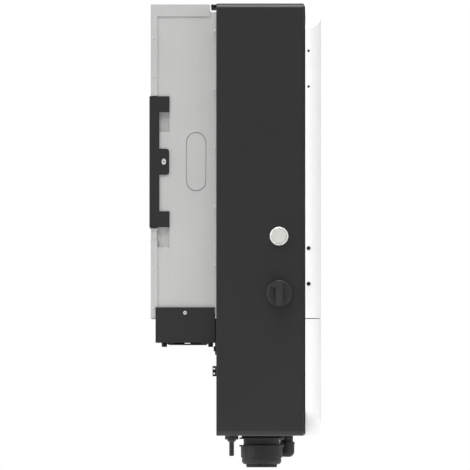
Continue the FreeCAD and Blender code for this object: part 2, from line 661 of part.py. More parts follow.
side = fuse([side] + hooks)
slot = obround_x(bx0 - 1, BRACKET_X + 1, LOCK_D, 0.0, 2 * LOCK_R + 2 * CLEAR, 11.0)
side = side.cut(slot)
bracket = fuse([bracket, side, mirrored(side)])
openings = []
for x0, x1 in ((-135.0, -12.0), (12.0, 135.0)):
    win = slab(x0, x1, -1.0, BRACKET_T + 1, -62.0, 62.0)
    win = win.makeFillet(10.0, along(win, Y_AXIS))
    openings.append(win)
for x in (-WALL_BOLT_X, WALL_BOLT_X):
    for z in (-WALL_BOLT_Z, WALL_BOLT_Z):
        openings.append(post(x, -1.0, BRACKET_T + 1, z, WALL_BOLT_R))
bracket = less(bracket, openings)
save("wall_bracket", bracket)

lock_head = obround_x(BRACKET_X, BRACKET_X + 2.4, LOCK_D, 0.0, 2 * LOCK_R + 1.4, 9.0)
lock_shank = spindle(web_in - HANGER_T - 1.5, BRACKET_X, LOCK_D, 0.0, LOCK_R)
lock_socket = spindle(BRACKET_X + 0.6, BRACKET_X + 3, LOCK_D, 0.0, 1.3)
save("bracket_lock_screws", both(fuse([lock_head, lock_shank]).cut(lock_socket)))

# ---------------------------------------------------------------- fan tray
tray_in = TRAY_X - TRAY_T
tray_front = CASE_REAR
tray_wall_top = DUCT_BOTTOM - 0.5
tray = slab(-TRAY_X, TRAY_X, TRAY_BACK, tray_front, TRAY_BOTTOM, TRAY_BOTTOM + TRAY_T)
tray_side = slab(tray_in, TRAY_X, TRAY_BACK, web_front, TRAY_BOTTOM, TRAY_TOP)
tray_rear = slab(-TRAY_X, TRAY_X, TRAY_BACK, TRAY_BACK + TRAY_T, TRAY_BOTTOM, tray_wall_top)
mount_plate = slab(-TRAY_PLATE_X, TRAY_PLATE_X, tray_front - TRAY_T, tray_front,
                   TRAY_PLATE_BOTTOM, tray_wall_top)
tray = fuse([tray, tray_side, mirrored(tray_side), tray_rear, mount_plate])
half = FAN_HOLE_PITCH / 2
fan_spots = []
for x in FAN_XS:
    for dx in (-half, half):
        for dd in (-half, half):
            fan_spots.append((x + dx, FAN_D + dd))
cuts = [column(x, FAN_D, TRAY_BOTTOM - 1, TRAY_BOTTOM + TRAY_T + 1, FAN_BORE_R) for x in FAN_XS]
cuts += [column(x, d, TRAY_BOTTOM - 1, TRAY_BOTTOM + TRAY_T + 1, FAN_SCREW_R + SCREW_CLEAR)
         for x, d in fan_spots]
cuts.append(tray_hole)
cuts.append(mirrored(tray_hole))
for x in tray_plate_xs:
    cuts.append(post(x, tray_front - TRAY_T - 1, tray_front + 1, TRAY_PLATE_SCREW_Z,
                     FLANGE_SCREW_R + SCREW_CLEAR))
save("fan_tray", less(tray, cuts))

tray_screw_head = spindle(TRAY_X, TRAY_X + 1.6, TRAY_SCREW_D, TRAY_SCREW_Z, 2.9)
tray_screw_shank = spindle(web_in - 3, TRAY_X, TRAY_SCREW_D, TRAY_SCREW_Z, TRAY_SCREW_R)
tray_spacer = spindle(DUCT_X, tray_in, TRAY_SCREW_D, TRAY_SCREW_Z, 4.0)
tray_screw = fuse([tray_screw_head, tray_screw_shank, tray_spacer])
save("tray_side_screws", both(tray_screw))

# ---------------------------------------------------------------- fans
fan_low = TRAY_BOTTOM + TRAY_T
fan_top = fan_low + FAN_DEPTH
STATOR_R = 12.5
frames = []
for x in FAN_XS:
    frame = slab(x - FAN_SIZE / 2, x + FAN_SIZE / 2, FAN_D - FAN_SIZE / 2, FAN_D + FAN_SIZE / 2,
                 fan_low, fan_top)
    frame = frame.makeFillet(4.0, along(frame, Z_AXIS))
    frame = frame.cut(column(x, FAN_D, fan_low - 1, fan_top + 1, FAN_BORE_R))
    waist = slab(x - 50, x + 50, FAN_D - 50, FAN_D + 50, fan_low + 4, fan_top - 4)
    waist = waist.cut(column(x, FAN_D, fan_low, fan_top, FAN_BORE_R + 1.6))
    frame = frame.cut(waist)
    struts = [column(x, FAN_D, fan_low, fan_low + 3, HUB_R + 2)]
    for k in range(4):
        arm = slab(x + HUB_R, x + FAN_BORE_R + 1, FAN_D - 1.5, FAN_D + 1.5, fan_low, fan_low + 3)
        arm.rotate(V(x, -FAN_D, 0), Z_AXIS, 45 + 90 * k)
        struts.append(arm)
    struts.append(column(x, FAN_D, fan_low, fan_top - 7, STATOR_R))
    frame = fuse([frame] + struts)
    frame = frame.cut(column(x, FAN_D, fan_low + 3, fan_top, FAN_SHAFT_R + RUN_CLEAR))
    holes = []
    for dx in (-half, half):
        for dd in (-half, half):
            holes.append(column(x + dx, FAN_D + dd, fan_low - 1, fan_top + 1, FAN_SCREW_R + TOUCH_CLEAR))
    frames.append(less(frame, holes))
save("fan_frames", Part.Compound(frames))

rotor_low = fan_low + 4.5
rotor_top = fan_top - 2
for number, x in enumerate(FAN_XS, 1):
    hub = column(x, FAN_D, rotor_low, rotor_top, HUB_R)
    hub = hub.cut(column(x, FAN_D, rotor_low - 1, rotor_top - 2.5, STATOR_R + 0.8))
    shaft = column(x, FAN_D, fan_low + 3.5, rotor_top - 1, FAN_SHAFT_R)
    zone = column(x, FAN_D, rotor_low + 0.5, rotor_top - 0.5, ROTOR_R)
    zone = zone.cut(column(x, FAN_D, rotor_low, rotor_top, HUB_R - 0.6))
    blades = []
    for k in range(BLADES):
        blade = slab(x, x + ROTOR_R + 4, FAN_D - 0.7, FAN_D + 0.7, -22.0, 22.0)
        blade.rotate(V(x, -FAN_D, 0), X_AXIS, 48)
        blade.translate(V(0, 0, (rotor_low + rotor_top) / 2))
        blade.rotate(V(x, -FAN_D, 0), Z_AXIS, 360.0 / BLADES * k)
        blades.append(blade.common(zone))
    save("fan_%d_rotor" % number, fuse([hub, shaft] + blades))

guards = []
guard_top = TRAY_BOTTOM
for x in FAN_XS:
    pieces = []
    for r in GUARD_RADII:
        ring = column(x, FAN_D, guard_top - GUARD_H, guard_top - GUARD_H + GUARD_RING_T, r)
        pieces.append(ring.cut(column(x, FAN_D, guard_top - GUARD_H - 1, guard_top + 1, r - GUARD_RING_T)))
    reach = FAN_HOLE_PITCH / math.sqrt(2)
    for k in range(4):
        bar = slab(x + GUARD_RADII[0] - 1, x + reach, FAN_D - 1, FAN_D + 1, guard_top - GUARD_BAR_T, guard_top)
        bar.rotate(V(x, -FAN_D, 0), Z_AXIS, 45 + 90 * k)
        pieces.append(bar)
    holes = []
    for dx in (-half, half):
        for dd in (-half, half):
            pieces.append(column(x + dx, FAN_D + dd, guard_top - GUARD_H, guard_top, FAN_HEAD_R))
            holes.append(column(x + dx, FAN_D + dd, guard_top - GUARD_H - 1, guard_top + 1,
                                FAN_SCREW_R + SCREW_CLEAR))
    guards.append(less(fuse(pieces), holes))
save("finger_guards", Part.Compound(guards))

fan_screws = []
for x, d in fan_spots:
    low = guard_top - GUARD_H
    head = column(x, d, low - FAN_HEAD_H, low, FAN_HEAD_R)
    shank = column(x, d, low, fan_low + 14, FAN_SCREW_R)
    socket = hex_column(x, d, low - FAN_HEAD_H - 1, low - FAN_HEAD_H + 1.6, 2.5)
    fan_screws.append(fuse([head, shank]).cut(socket))
save("fan_screws", Part.Compound(fan_screws))

# ---------------------------------------------------------------- start button
wall_x = -HALF_WIDTH
bezel_x = wall_x - BEZEL_H
POCKET_FLOOR = wall_x - 1.0
chamber_x = wall_x + 10.0
barrel_end = wall_x + BARREL_L
bezel = spindle(bezel_x, wall_x, BUTTON_D, BUTTON_Z, BEZEL_R)
bezel_edge = [e for e in bezel.Edges if len(e.Vertexes) == 1 and e.CenterOfMass.x < bezel_x + 0.1]
bezel = bezel.makeFillet(1.5, bezel_edge)
barrel = spindle(wall_x - 0.5, barrel_end, BUTTON_D, BUTTON_Z, BARREL_R)
bezel = fuse([bezel, barrel])
bezel = less(bezel, [
    spindle(bezel_x - 1, POCKET_FLOOR, BUTTON_D, BUTTON_Z, CAP_R + 0.2),
    spindle(POCKET_FLOOR - 1, chamber_x + 1, BUTTON_D, BUTTON_Z, STEM_R + RUN_CLEAR),
    spindle(chamber_x, barrel_end + 1, BUTTON_D, BUTTON_Z, 8.0)])
save("button_housing", bezel)

cap_back = POCKET_FLOOR - BUTTON_TRAVEL - 0.4
cap = spindle(bezel_x - 1.2, cap_back, BUTTON_D, BUTTON_Z, CAP_R)
cap_edge = [e for e in cap.Edges if len(e.Vertexes) == 1 and e.CenterOfMass.x < bezel_x - 1]
cap = cap.makeFillet(0.6, cap_edge)
stem_end = barrel_end - 2.0
stem = spindle(cap_back - 0.5, stem_end, BUTTON_D, BUTTON_Z, STEM_R)
save("button_cap", fuse([cap, stem]))

collar_x = chamber_x + TOUCH_CLEAR
COLLAR_T = 2.0
collar = spindle(collar_x, collar_x + COLLAR_T, BUTTON_D, BUTTON_Z, 7.0)
collar = collar.cut(spindle(collar_x - 1, collar_x + COLLAR_T + 1, BUTTON_D, BUTTON_Z, STEM_R))
save("button_collar", collar)

WIRE_R = 0.5
SPRING_R = 5.6
spring_x0 = collar_x + COLLAR_T + WIRE_R
spring_l = barrel_end - WIRE_R - spring_x0
helix = Part.makeHelix(spring_l / 4.5, spring_l, SPRING_R)
facets = []
for k in range(9):
    a = math.radians(22.5 + 45 * k)
    facets.append(V(SPRING_R + WIRE_R * math.cos(a), 0, WIRE_R * math.sin(a)))
section = Part.Wire(Part.makePolygon(facets))
spring = Part.Wire(helix).makePipeShell([section], True, True)
spring.rotate(V(0, 0, 0), Y_AXIS, 90)
spring.translate(V(spring_x0, -BUTTON_D, BUTTON_Z))
save("button_spring", spring)

button_nut = spindle(-INNER_X, -INNER_X + 5, BUTTON_D, BUTTON_Z, 15.0)
button_nut = button_nut.cut(spindle(-INNER_X - 1, -INNER_X + 6, BUTTON_D, BUTTON_Z, BARREL_R + TOUCH_CLEAR))
save("button_nut", button_nut)

contacts = slab(barrel_end, barrel_end + 30, BUTTON_D - 13, BUTTON_D + 13, BUTTON_Z - 13, BUTTON_Z + 13)
contacts = contacts.cut(spindle(barrel_end - 1, barrel_end + 6, BUTTON_D, BUTTON_Z, STEM_R + CLEAR))
save("button_contacts", contacts)

# ---------------------------------------------------------------- DC switch
SEAL_T = 1.5
seal = spindle(wall_x - SEAL_T, wall_x, SWITCH_D, SWITCH_Z, KNOB_R - 1.5)
boss = spindle(wall_x - 1, -INNER_X, SWITCH_D, SWITCH_Z, SWITCH_BOSS_R)
escutcheon = fuse([seal, boss])
shaft_room = spindle(wall_x - 5, wall_x + SWITCH_BODY_L - 8, SWITCH_D, SWITCH_Z, SWITCH_SHAFT_R + RUN_CLEAR)
save("switch_escutcheon", escutcheon.cut(shaft_room))

block_x = -INNER_X
block = slab(block_x, block_x + SWITCH_BODY_L, SWITCH_D - SWITCH_BODY / 2, SWITCH_D + SWITCH_BODY / 2,
             SWITCH_Z - SWITCH_BODY / 2, SWITCH_Z + SWITCH_BODY / 2)
ribs = []
for k in range(4):
    x = block_x + 12 + 12 * k
    rib = slab(x, x + 2, SWITCH_D - 30, SWITCH_D + 30, SWITCH_Z - 30, SWITCH_Z + 30)
    keep = slab(x - 1, x + 3, SWITCH_D - SWITCH_BODY / 2 + 1.5, SWITCH_D + SWITCH_BODY / 2 - 1.5,
                SWITCH_Z - SWITCH_BODY / 2 + 1.5, SWITCH_Z + SWITCH_BODY / 2 - 1.5)
    ribs.append(rib.cut(keep))
block = less(block, ribs + [shaft_room])
save("switch_block", block)

knob_back = wall_x - SEAL_T - 0.5
knob_face = knob_back - KNOB_BASE_H
knob_end = wall_x - KNOB_H
disc = spindle(knob_face, knob_back, SWITCH_D, SWITCH_Z, KNOB_R)
disc_edge = [e for e in disc.Edges if len(e.Vertexes) == 1 and e.CenterOfMass.x < knob_face + 0.1]
disc = disc.makeFillet(2.0, disc_edge)
half_grip = GRIP_W / 2
grip_low = SWITCH_Z - GRIP_L / 2 + 1.3
grip_top = SWITCH_Z + GRIP_L / 2 - 0.4
grip = plate_dz([
    (SWITCH_D - half_grip, grip_low + 2), (SWITCH_D - half_grip + 2, grip_low),
    (SWITCH_D + half_grip - 2, grip_low), (SWITCH_D + half_grip, grip_low + 2),
    (SWITCH_D + half_grip, grip_top - 2), (SWITCH_D + half_grip - 2, grip_top),
    (SWITCH_D - 7.0, grip_top), (SWITCH_D - 10.6, grip_top - 1.8), (SWITCH_D - 12.8, grip_top - 4.6),
    (SWITCH_D - 12.8, grip_top - 8.0), (SWITCH_D - 11.3, grip_top - 9.5),
    (SWITCH_D - half_grip, grip_top - 9.5)], knob_end, knob_face + 1)
knob = fuse([disc, grip])
shaft_out = knob_face - 8
knob = knob.cut(spindle(shaft_out, knob_back + 1, SWITCH_D, SWITCH_Z, SWITCH_SHAFT_R + TOUCH_CLEAR))
save("switch_knob", knob)
save("switch_shaft", spindle(shaft_out, block_x + SWITCH_BODY_L - 12, SWITCH_D, SWITCH_Z, SWITCH_SHAFT_R))

# ---------------------------------------------------------------- photovoltaic and battery connectors
sockets_plus = []
sockets_minus = []
pv_nuts = []
for k, x in enumerate(pv_xs):
    if k % 2 == 0:
        points = [
            (0.0, UP + 10), (PV_SHANK_R, UP + 10), (PV_SHANK_R, LOW), (PV_HEAD_R, LOW),
            (PV_HEAD_R, PV_HEAD_BOTTOM), (PV_STEM_R, PV_HEAD_BOTTOM - 3.2),
            (PV_STEM_R, PV_STEM_BOTTOM + 1), (PV_STEM_R - 1, PV_STEM_BOTTOM), (0.0, PV_STEM_BOTTOM)]
        sockets_plus.append(turned(points, x, PV_D))
    else:
        points = [
            (0.0, UP + 10), (PV_SHANK_R, UP + 10), (PV_SHANK_R, LOW), (PV_HEAD_R, LOW),
            (PV_HEAD_R, PV_HEAD_BOTTOM), (4.2, PV_HEAD_BOTTOM), (4.2, UP), (2.0, UP),
            (2.0, PV_HEAD_BOTTOM + 1.5), (0.0, PV_HEAD_BOTTOM + 1.5)]
        sockets_minus.append(turned(points, x, PV_D))
    nut = hex_column(x, PV_D, UP, UP + 4, 16.0)
    pv_nuts.append(nut.cut(column(x, PV_D, UP - 1, UP + 5, PV_SHANK_R + TOUCH_CLEAR)))
save("pv_plugs_plus", Part.Compound(sockets_plus))
save("pv_sockets_minus", Part.Compound(sockets_minus))
save("pv_socket_nuts", Part.Compound(pv_nuts))

batteries = []
for x in BATTERY_XS:
    points = [
        (0.0, UP + 14), (BATTERY_SHANK_R, UP + 14), (BATTERY_SHANK_R, LOW), (10.4, LOW),
        (10.4, LOW - 7), (7.0, LOW - 7), (7.0, UP), (3.0, UP), (3.0, LOW - 5), (0.0, LOW - 5)]
    batteries.append(turned(points, x, PV_D))
save("battery_sockets", Part.Compound(batteries))

# ---------------------------------------------------------------- cable glands
ac_bodies = []
ac_nuts = []
rubbers = []
locknuts = []
AC_SEAL_R = AC_THREAD_R + 6.0
AC_NECK_R = AC_THREAD_R + 3.0
AC_NUT_R = AC_THREAD_R + 6.75
AC_SLEEVE_R = AC_THREAD_R - 0.4
AC_INSERT_R = AC_THREAD_R - 1.2
AC_BORE_R = AC_THREAD_R - 7.0
seal_low = LOW - 3.6
flange_low = seal_low - 2.3
neck_low = flange_low - 9.3
sleeve_end = neck_low - 14.8
insert_top = sleeve_end + 12.0
nut_low = neck_low - 29.8
insert_low = nut_low - 4.6
for x in AC_XS:
    rubbers.append(turned([
        (AC_THREAD_R + TOUCH_CLEAR, LOW), (AC_SEAL_R, LOW), (AC_SEAL_R, seal_low),
        (AC_THREAD_R + TOUCH_CLEAR, seal_low)], x, AC_D))
    ac_bodies.append(turned([
        (AC_BORE_R, UP + 10), (AC_THREAD_R, UP + 10), (AC_THREAD_R, seal_low),
        (AC_FLANGE_R, seal_low), (AC_FLANGE_R, flange_low), (AC_NECK_R, flange_low),
        (AC_NECK_R, neck_low), (AC_SLEEVE_R, neck_low), (AC_SLEEVE_R, sleeve_end),
        (AC_BORE_R, sleeve_end)], x, AC_D))
    nut_bore = AC_INSERT_R + SLIDE_CLEAR
    ac_nuts.append(turned([
        (AC_SLEEVE_R + CLEAR, neck_low), (AC_FLANGE_R, neck_low), (AC_FLANGE_R, neck_low - 2.6),
        (AC_NUT_R, neck_low - 2.6), (AC_NUT_R, neck_low - 19.8), (AC_NUT_R - 1.75, neck_low - 19.8),
        (AC_NUT_R - 1.75, neck_low - 21.3), (AC_NUT_R - 1.25, neck_low - 21.3),
        (AC_NUT_R - 1.25, neck_low - 24.8), (AC_NUT_R - 2.15, nut_low + 2.4),
        (AC_NUT_R - 4.25, nut_low + 0.6), (AC_NUT_R - 6.25, nut_low), (nut_bore, nut_low),
        (nut_bore, sleeve_end - 2), (AC_SLEEVE_R + CLEAR, sleeve_end - 2)], x, AC_D))
    plug_r = AC_BORE_R - SLIDE_CLEAR
    rubbers.append(turned([
        (AC_CABLE_R, insert_top), (plug_r, insert_top), (plug_r, sleeve_end), (AC_INSERT_R, sleeve_end),
        (AC_INSERT_R, insert_low + 1), (AC_INSERT_R - 1, insert_low), (AC_CABLE_R, insert_low)], x, AC_D))
    nut = hex_column(x, AC_D, UP, UP + NUT_T, 2 * AC_THREAD_R + 8.0)
    locknuts.append(nut.cut(column(x, AC_D, UP - 1, UP + NUT_T + 1, AC_THREAD_R + TOUCH_CLEAR)))
save("ac_gland_bodies", Part.Compound(ac_bodies))
save("ac_gland_nuts", Part.Compound(ac_nuts))

com_bodies = []
com_nuts = []
COM_NUT_R = COM_THREAD_R + 4.0
COM_NECK_R = COM_THREAD_R + 2.0
COM_SLEEVE_R = COM_THREAD_R + 0.5
COM_INSERT_R = COM_THREAD_R - 2.0
COM_BORE_R = COM_INSERT_R + SLIDE_CLEAR
com_neck_low = LOW - 10.5
com_sleeve_end = com_neck_low - 11.5
com_insert_top = com_sleeve_end + 8.0
com_low = com_neck_low - 23.5
DOME_R = COM_NUT_R - COM_CABLE_R
for x in COM_XS:
    com_bodies.append(turned([
        (COM_BORE_R, UP + 9), (COM_THREAD_R, UP + 9), (COM_THREAD_R, LOW), (COM_NECK_R, LOW),
        (COM_NECK_R, com_neck_low), (COM_SLEEVE_R, com_neck_low), (COM_SLEEVE_R, com_sleeve_end),
        (COM_BORE_R, com_sleeve_end)], x, COM_D))
    dome = [(COM_NUT_R, com_low + DOME_R)]
    for k in range(1, 5):
        a = math.radians(15.0 * k)
        dome.append((COM_CABLE_R + DOME_R * math.cos(a), com_low + DOME_R * (1 - math.sin(a))))
    com_nuts.append(turned([
        (COM_SLEEVE_R + SLIDE_CLEAR, com_neck_low), (COM_NUT_R + 0.5, com_neck_low),
        (COM_NUT_R + 0.5, com_neck_low - 4.5), (COM_NUT_R, com_neck_low - 4.5)] + dome + [
        (COM_BORE_R + 0.6, com_low), (COM_BORE_R, com_low), (COM_BORE_R, com_sleeve_end - 1.5),
        (COM_SLEEVE_R + SLIDE_CLEAR, com_sleeve_end - 1.5)], x, COM_D))
    rubbers.append(turned([
        (COM_CABLE_R, com_insert_top), (COM_INSERT_R, com_insert_top), (COM_INSERT_R, com_low),
        (COM_CABLE_R, com_low)], x, COM_D))
    nut = hex_column(x, COM_D, UP, UP + 5, 2 * COM_THREAD_R + 6.0)
    locknuts.append(nut.cut(column(x, COM_D, UP - 1, UP + 6, COM_THREAD_R + TOUCH_CLEAR)))
save("com_gland_bodies", Part.Compound(com_bodies))
save("com_gland_nuts", Part.Compound(com_nuts))
save("gland_rubbers", Part.Compound(rubbers))
save("gland_locknuts", Part.Compound(locknuts))

port = turned([
    (0.0, UP + 6), (PORT_SHANK_R, UP + 6), (PORT_SHANK_R, LOW), (12.0, LOW),
    (12.0, LOW - 11), (11.0, LOW - 12), (0.0, LOW - 12)], PORT_X, PORT_D)
save("data_port_cap", port)
valve = turned([
    (0.0, UP + 5), (VALVE_SHANK_R, UP + 5), (VALVE_SHANK_R, LOW), (8.0, LOW),
    (8.0, LOW - 6), (6.5, LOW - 7.5), (0.0, LOW - 7.5)], VALVE_X, VALVE_D)
save("breather_valve", valve)
earth_head = spindle(HALF_WIDTH + 1.2, HALF_WIDTH + 4.8, EARTH_D, EARTH_Z, 5.0)
washer = spindle(HALF_WIDTH, HALF_WIDTH + 1.2, EARTH_D, EARTH_Z, 7.0)
earth_shank = spindle(INNER_X - 12, HALF_WIDTH + 1, EARTH_D, EARTH_Z, EARTH_R)
save("earth_screw", fuse([earth_head, washer, earth_shank]))

# ---------------------------------------------------------------- electronics inside
board_top = 222.0
board_low = -165.0
board = slab(-238.0, 238.0, POWER_BOARD_D, POWER_BOARD_D + BOARD_T, board_low, board_top)
save("power_board", board)
legs = []
for x in (-225.0, 225.0):
    for z in (-155.0, -30.0, 95.0, 212.0):
        legs.append(post(x, INNER_REAR, POWER_BOARD_D, z, 4.0))

modules = []
for x in (-150.0, -50.0, 50.0, 150.0):
    for z in (150.0, 10.0):
        modules.append(slab(x - 30, x + 30, PAD_FRONT, POWER_BOARD_D, z - 50, z + 50))
save("power_modules", Part.Compound(modules))

board_front = POWER_BOARD_D + BOARD_T
caps = []
for x in (-180.0, -140.0, -100.0, -60.0, -20.0, 20.0, 60.0, 100.0, 140.0, 180.0):
    for z in (25.0, -20.0):
        caps.append(post(x, board_front, board_front + 50, z, 17.5))
save("dc_capacitors", Part.Compound(caps))

coils = []
for x in (-180.0, -108.0, -36.0, 36.0, 108.0, 180.0):
    coil = slab(x - 30, x + 30, board_front, board_front + 62, 90.0, 160.0)
    coils.append(coil.makeFillet(6.0, along(coil, Y_AXIS)))

relays = []
for k in range(8):
    x = 40.0 + 26.0 * k
    relays.append(slab(x - 10, x + 10, board_front, board_front + 26, -110.0, -72.0))
save("grid_relays", Part.Compound(relays))

# Potted coils above, open toroid chokes of the grid filter below
for x in (-150.0, -90.0, -30.0):
    ring = post(x, board_front, board_front + 30, -112.0, 26.0)
    coils.append(ring.cut(post(x, board_front - 1, board_front + 31, -112.0, 13.0)))
save("inductors", Part.Compound(coils))

for x in (-120.0, 120.0):
    for z in (57.0, 205.0):
        legs.append(post(x, board_front, CONTROL_BOARD_D, z, 4.0))
save("board_standoffs", Part.Compound(legs))
control = slab(-140.0, 140.0, CONTROL_BOARD_D, CONTROL_BOARD_D + BOARD_T, 45.0, 215.0)
chips = [
    slab(-40, 0, CONTROL_BOARD_D + BOARD_T, CONTROL_BOARD_D + BOARD_T + 3, 110, 150),
    slab(30, 60, CONTROL_BOARD_D + BOARD_T, CONTROL_BOARD_D + BOARD_T + 3, 120, 140),
    slab(-110, -60, CONTROL_BOARD_D + BOARD_T, CONTROL_BOARD_D + BOARD_T + 14, 60, 75),
    slab(60, 110, CONTROL_BOARD_D + BOARD_T, CONTROL_BOARD_D + BOARD_T + 14, 60, 75)]
save("control_board", fuse([control] + chips))

terminals = []
for k in range(5):
    x = 50.0 + 26.0 * k
    block = slab(x - 12, x + 12, INNER_REAR, INNER_REAR + 40, -350.0, -300.0)
    well = post(x, INNER_REAR + 30, INNER_REAR + 41, -325.0, 7.0)
    entry = column(x, INNER_REAR + 20, -351.0, -335.0, 6.5)
    terminals.append(less(block, [well, entry]))
save("ac_terminals", Part.Compound(terminals))
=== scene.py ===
import json
import math

import bmesh
import bpy
from bpy.props import FloatProperty, FloatVectorProperty, IntProperty, PointerProperty
from mathutils import Matrix, Vector


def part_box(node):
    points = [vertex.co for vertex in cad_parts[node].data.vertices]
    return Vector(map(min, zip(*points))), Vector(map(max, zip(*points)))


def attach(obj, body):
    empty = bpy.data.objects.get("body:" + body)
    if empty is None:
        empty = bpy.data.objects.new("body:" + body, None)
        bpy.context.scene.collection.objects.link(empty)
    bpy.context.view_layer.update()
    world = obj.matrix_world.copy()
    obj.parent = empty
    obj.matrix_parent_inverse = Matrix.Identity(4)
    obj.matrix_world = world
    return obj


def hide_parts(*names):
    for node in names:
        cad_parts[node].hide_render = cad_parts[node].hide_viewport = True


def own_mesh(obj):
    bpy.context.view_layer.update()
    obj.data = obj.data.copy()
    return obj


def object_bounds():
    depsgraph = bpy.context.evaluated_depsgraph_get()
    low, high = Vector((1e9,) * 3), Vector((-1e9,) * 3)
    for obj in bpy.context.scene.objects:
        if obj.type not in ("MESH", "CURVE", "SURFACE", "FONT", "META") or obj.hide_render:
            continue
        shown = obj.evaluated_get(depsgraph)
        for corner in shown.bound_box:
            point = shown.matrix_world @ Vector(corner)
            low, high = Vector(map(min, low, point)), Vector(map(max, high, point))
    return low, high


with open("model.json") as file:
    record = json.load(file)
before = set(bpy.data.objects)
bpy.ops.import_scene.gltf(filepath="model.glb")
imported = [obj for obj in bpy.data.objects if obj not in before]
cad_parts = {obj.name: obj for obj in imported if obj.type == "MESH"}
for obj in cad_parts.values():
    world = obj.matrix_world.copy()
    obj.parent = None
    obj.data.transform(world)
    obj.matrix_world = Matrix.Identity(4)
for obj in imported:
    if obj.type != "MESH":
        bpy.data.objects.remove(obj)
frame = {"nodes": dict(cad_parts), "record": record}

bl_info = {
    "name": "String inverter",
    "version": (1, 0, 0),
    "blender": (4, 5, 0),
    "location": "View3D > Sidebar > Inverter",
    "description": "Finishes, small fittings and a plain studio for a wall-hung string inverter",
    "category": "Object",
}

NODES = frame["nodes"]
CAD_LOW, CAD_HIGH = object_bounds()
ROOT = "inverter"
MM = 0.001
MERGE = 1e-6  # corners nearer than this are one corner
X_AXIS = Vector((1, 0, 0))
Z_AXIS = Vector((0, 0, 1))


# ---------------------------------------------------------------- settings
def colour(name, text, value):
    """A colour setting, given in linear light."""
    return FloatVectorProperty(
        name=name, description=text, default=value, size=3, min=0.0, max=1.0, subtype="COLOR")


def length(name, text, value):
    """A length setting in metres."""
    return FloatProperty(
        name=name, description=text, default=value, min=0.0, precision=4, unit="LENGTH", subtype="DISTANCE")


def coordinate(name, text, value):
    """A place along one axis, in metres from the middle of the bracket's back face."""
    return FloatProperty(
        name=name, description=text, default=value, precision=4, unit="LENGTH", subtype="DISTANCE")


def factor(name, text, value):
    """A setting between 0 and 1."""
    return FloatProperty(name=name, description=text, default=value, min=0.0, max=1.0, subtype="FACTOR")


def count(name, text, value, least, most):
    """A whole number setting."""
    return IntProperty(name=name, description=text, default=value, min=least, max=most)


def watts(name, text, value):
    """A lamp's power in watts."""
    return FloatProperty(name=name, description=text, default=value, min=0.0, unit="POWER")


class InverterFinish(bpy.types.PropertyGroup):
    """Colours and gloss of the painted, moulded and plated parts."""

    case_grey: colour("Case grey", "Dark powder coat of case, tray and bracket", (0.0185, 0.0187, 0.0187))
    cover_white: colour("Cover white", "White powder coat of the two front covers", (0.89, 0.89, 0.885))
    duct_grey: colour("Duct grey", "Light grey sheet of the cooling duct", (0.50, 0.50, 0.495))
    gland_grey: colour("Gland grey", "Moulded cable glands and connectors", (0.014, 0.0142, 0.0145))
    knob_grey: colour("Knob grey", "Moulded DC switch knob", (0.0180, 0.0182, 0.0182))
    button_grey: colour("Button grey", "Cap of the start button", (0.56, 0.565, 0.53))
    plate_steel: colour("Plated steel", "Zinc plated screws and the return spring", (0.62, 0.62, 0.60))
    coat_gloss: factor("Coat roughness", "Roughness of the dark powder coat", 0.32)
    white_gloss: factor("White roughness", "Roughness of the white covers", 0.34)


class InverterFittings(bpy.types.PropertyGroup):
    """Sizes of the small fittings."""

    rivet_dome: length("Rivet dome", "Height of a rivet's domed head", 0.0008)
    guard_wire: length("Guard wire", "Diameter of the finger guard's wire", 0.0018)
    guard_rings: count("Guard rings", "Wire rings on each finger guard", 5, 2, 8)
    spring_wire: length("Spring wire", "Diameter of the return spring's wire", 0.001)
    spring_turns: count("Spring turns", "Turns of the return spring", 4, 2, 12)
    duct_sheet: length("Duct sheet", "Thickness of the duct's sheet", 0.0015)
    dish_length: length("Dish length", "Height of the rounded dish in each duct side", 0.0904)
    dish_width: length("Dish width", "Width of the dish", 0.0314)
    dish_depth: length("Dish depth", "How far the dish lies below the duct side", 0.002)
    dish_place: length("Dish place", "Distance of the dish's middle from the wall", 0.0719)
    dish_gap: length("Dish gap", "Gap round the plate that sits in the dish", 0.0012)
    dish_plate: length("Dish plate", "Thickness of the plate that sits in the dish", 0.0018)
    blade_thick: length("Blade thickness", "Thickness of a fan blade", 0.0013)
    nut_ribs: count("Nut ribs", "Grip ribs round a large gland nut", 20, 6, 48)
    small_ribs: count("Small ribs", "Grip ribs round a small gland nut", 12, 6, 36)


class InverterStage(bpy.types.PropertyGroup):
    """Camera, floor and lights."""

    lens: FloatProperty(
        name="Lens", description="Focal length of the camera in millimetres",
        default=1650.0, min=50.0, unit="CAMERA")
    frame_size: length("Frame size", "Width of the picture at the case's side", 0.7205)
    look_y: coordinate("Centre Y", "Middle of the picture, along Y", -0.1314)
    look_z: coordinate("Centre Z", "Middle of the picture, along Z", -0.1127)
    eye_z: coordinate("Eye Z", "Height of the camera", -0.33)
    side_inset: length("Side inset", "Distance from the outermost fitting in to the case's side", 0.027)
    floor_drop: length("Floor drop", "Floor below the lowest gland", 0.18)
    floor_radius: length("Floor radius", "Radius of the round floor", 1.6)
    key_power: watts("Key power", "Power of the key light", 92.0)
    top_power: watts("Top power", "Power of the top light", 26.0)
    front_share: factor("Front share", "Power of the front light as a share of the key light's", 0.08)
    rear_share: factor("Rear share", "Power of the rear light as a share of the key light's", 0.4)
    sky: FloatProperty(name="Sky", description="Strength of the soft light all round", default=0.56, min=0.0)
    sky_dip: factor("Sky dip", "Dimming of the sky behind the camera, so that dark paint stays dark", 0.3)


# ---------------------------------------------------------------- node helpers
# Places of a Mix node's colour sockets, whose names it shares with its other kinds
COLOUR_INPUTS = (6, 7)
COLOUR_OUTPUT = 2


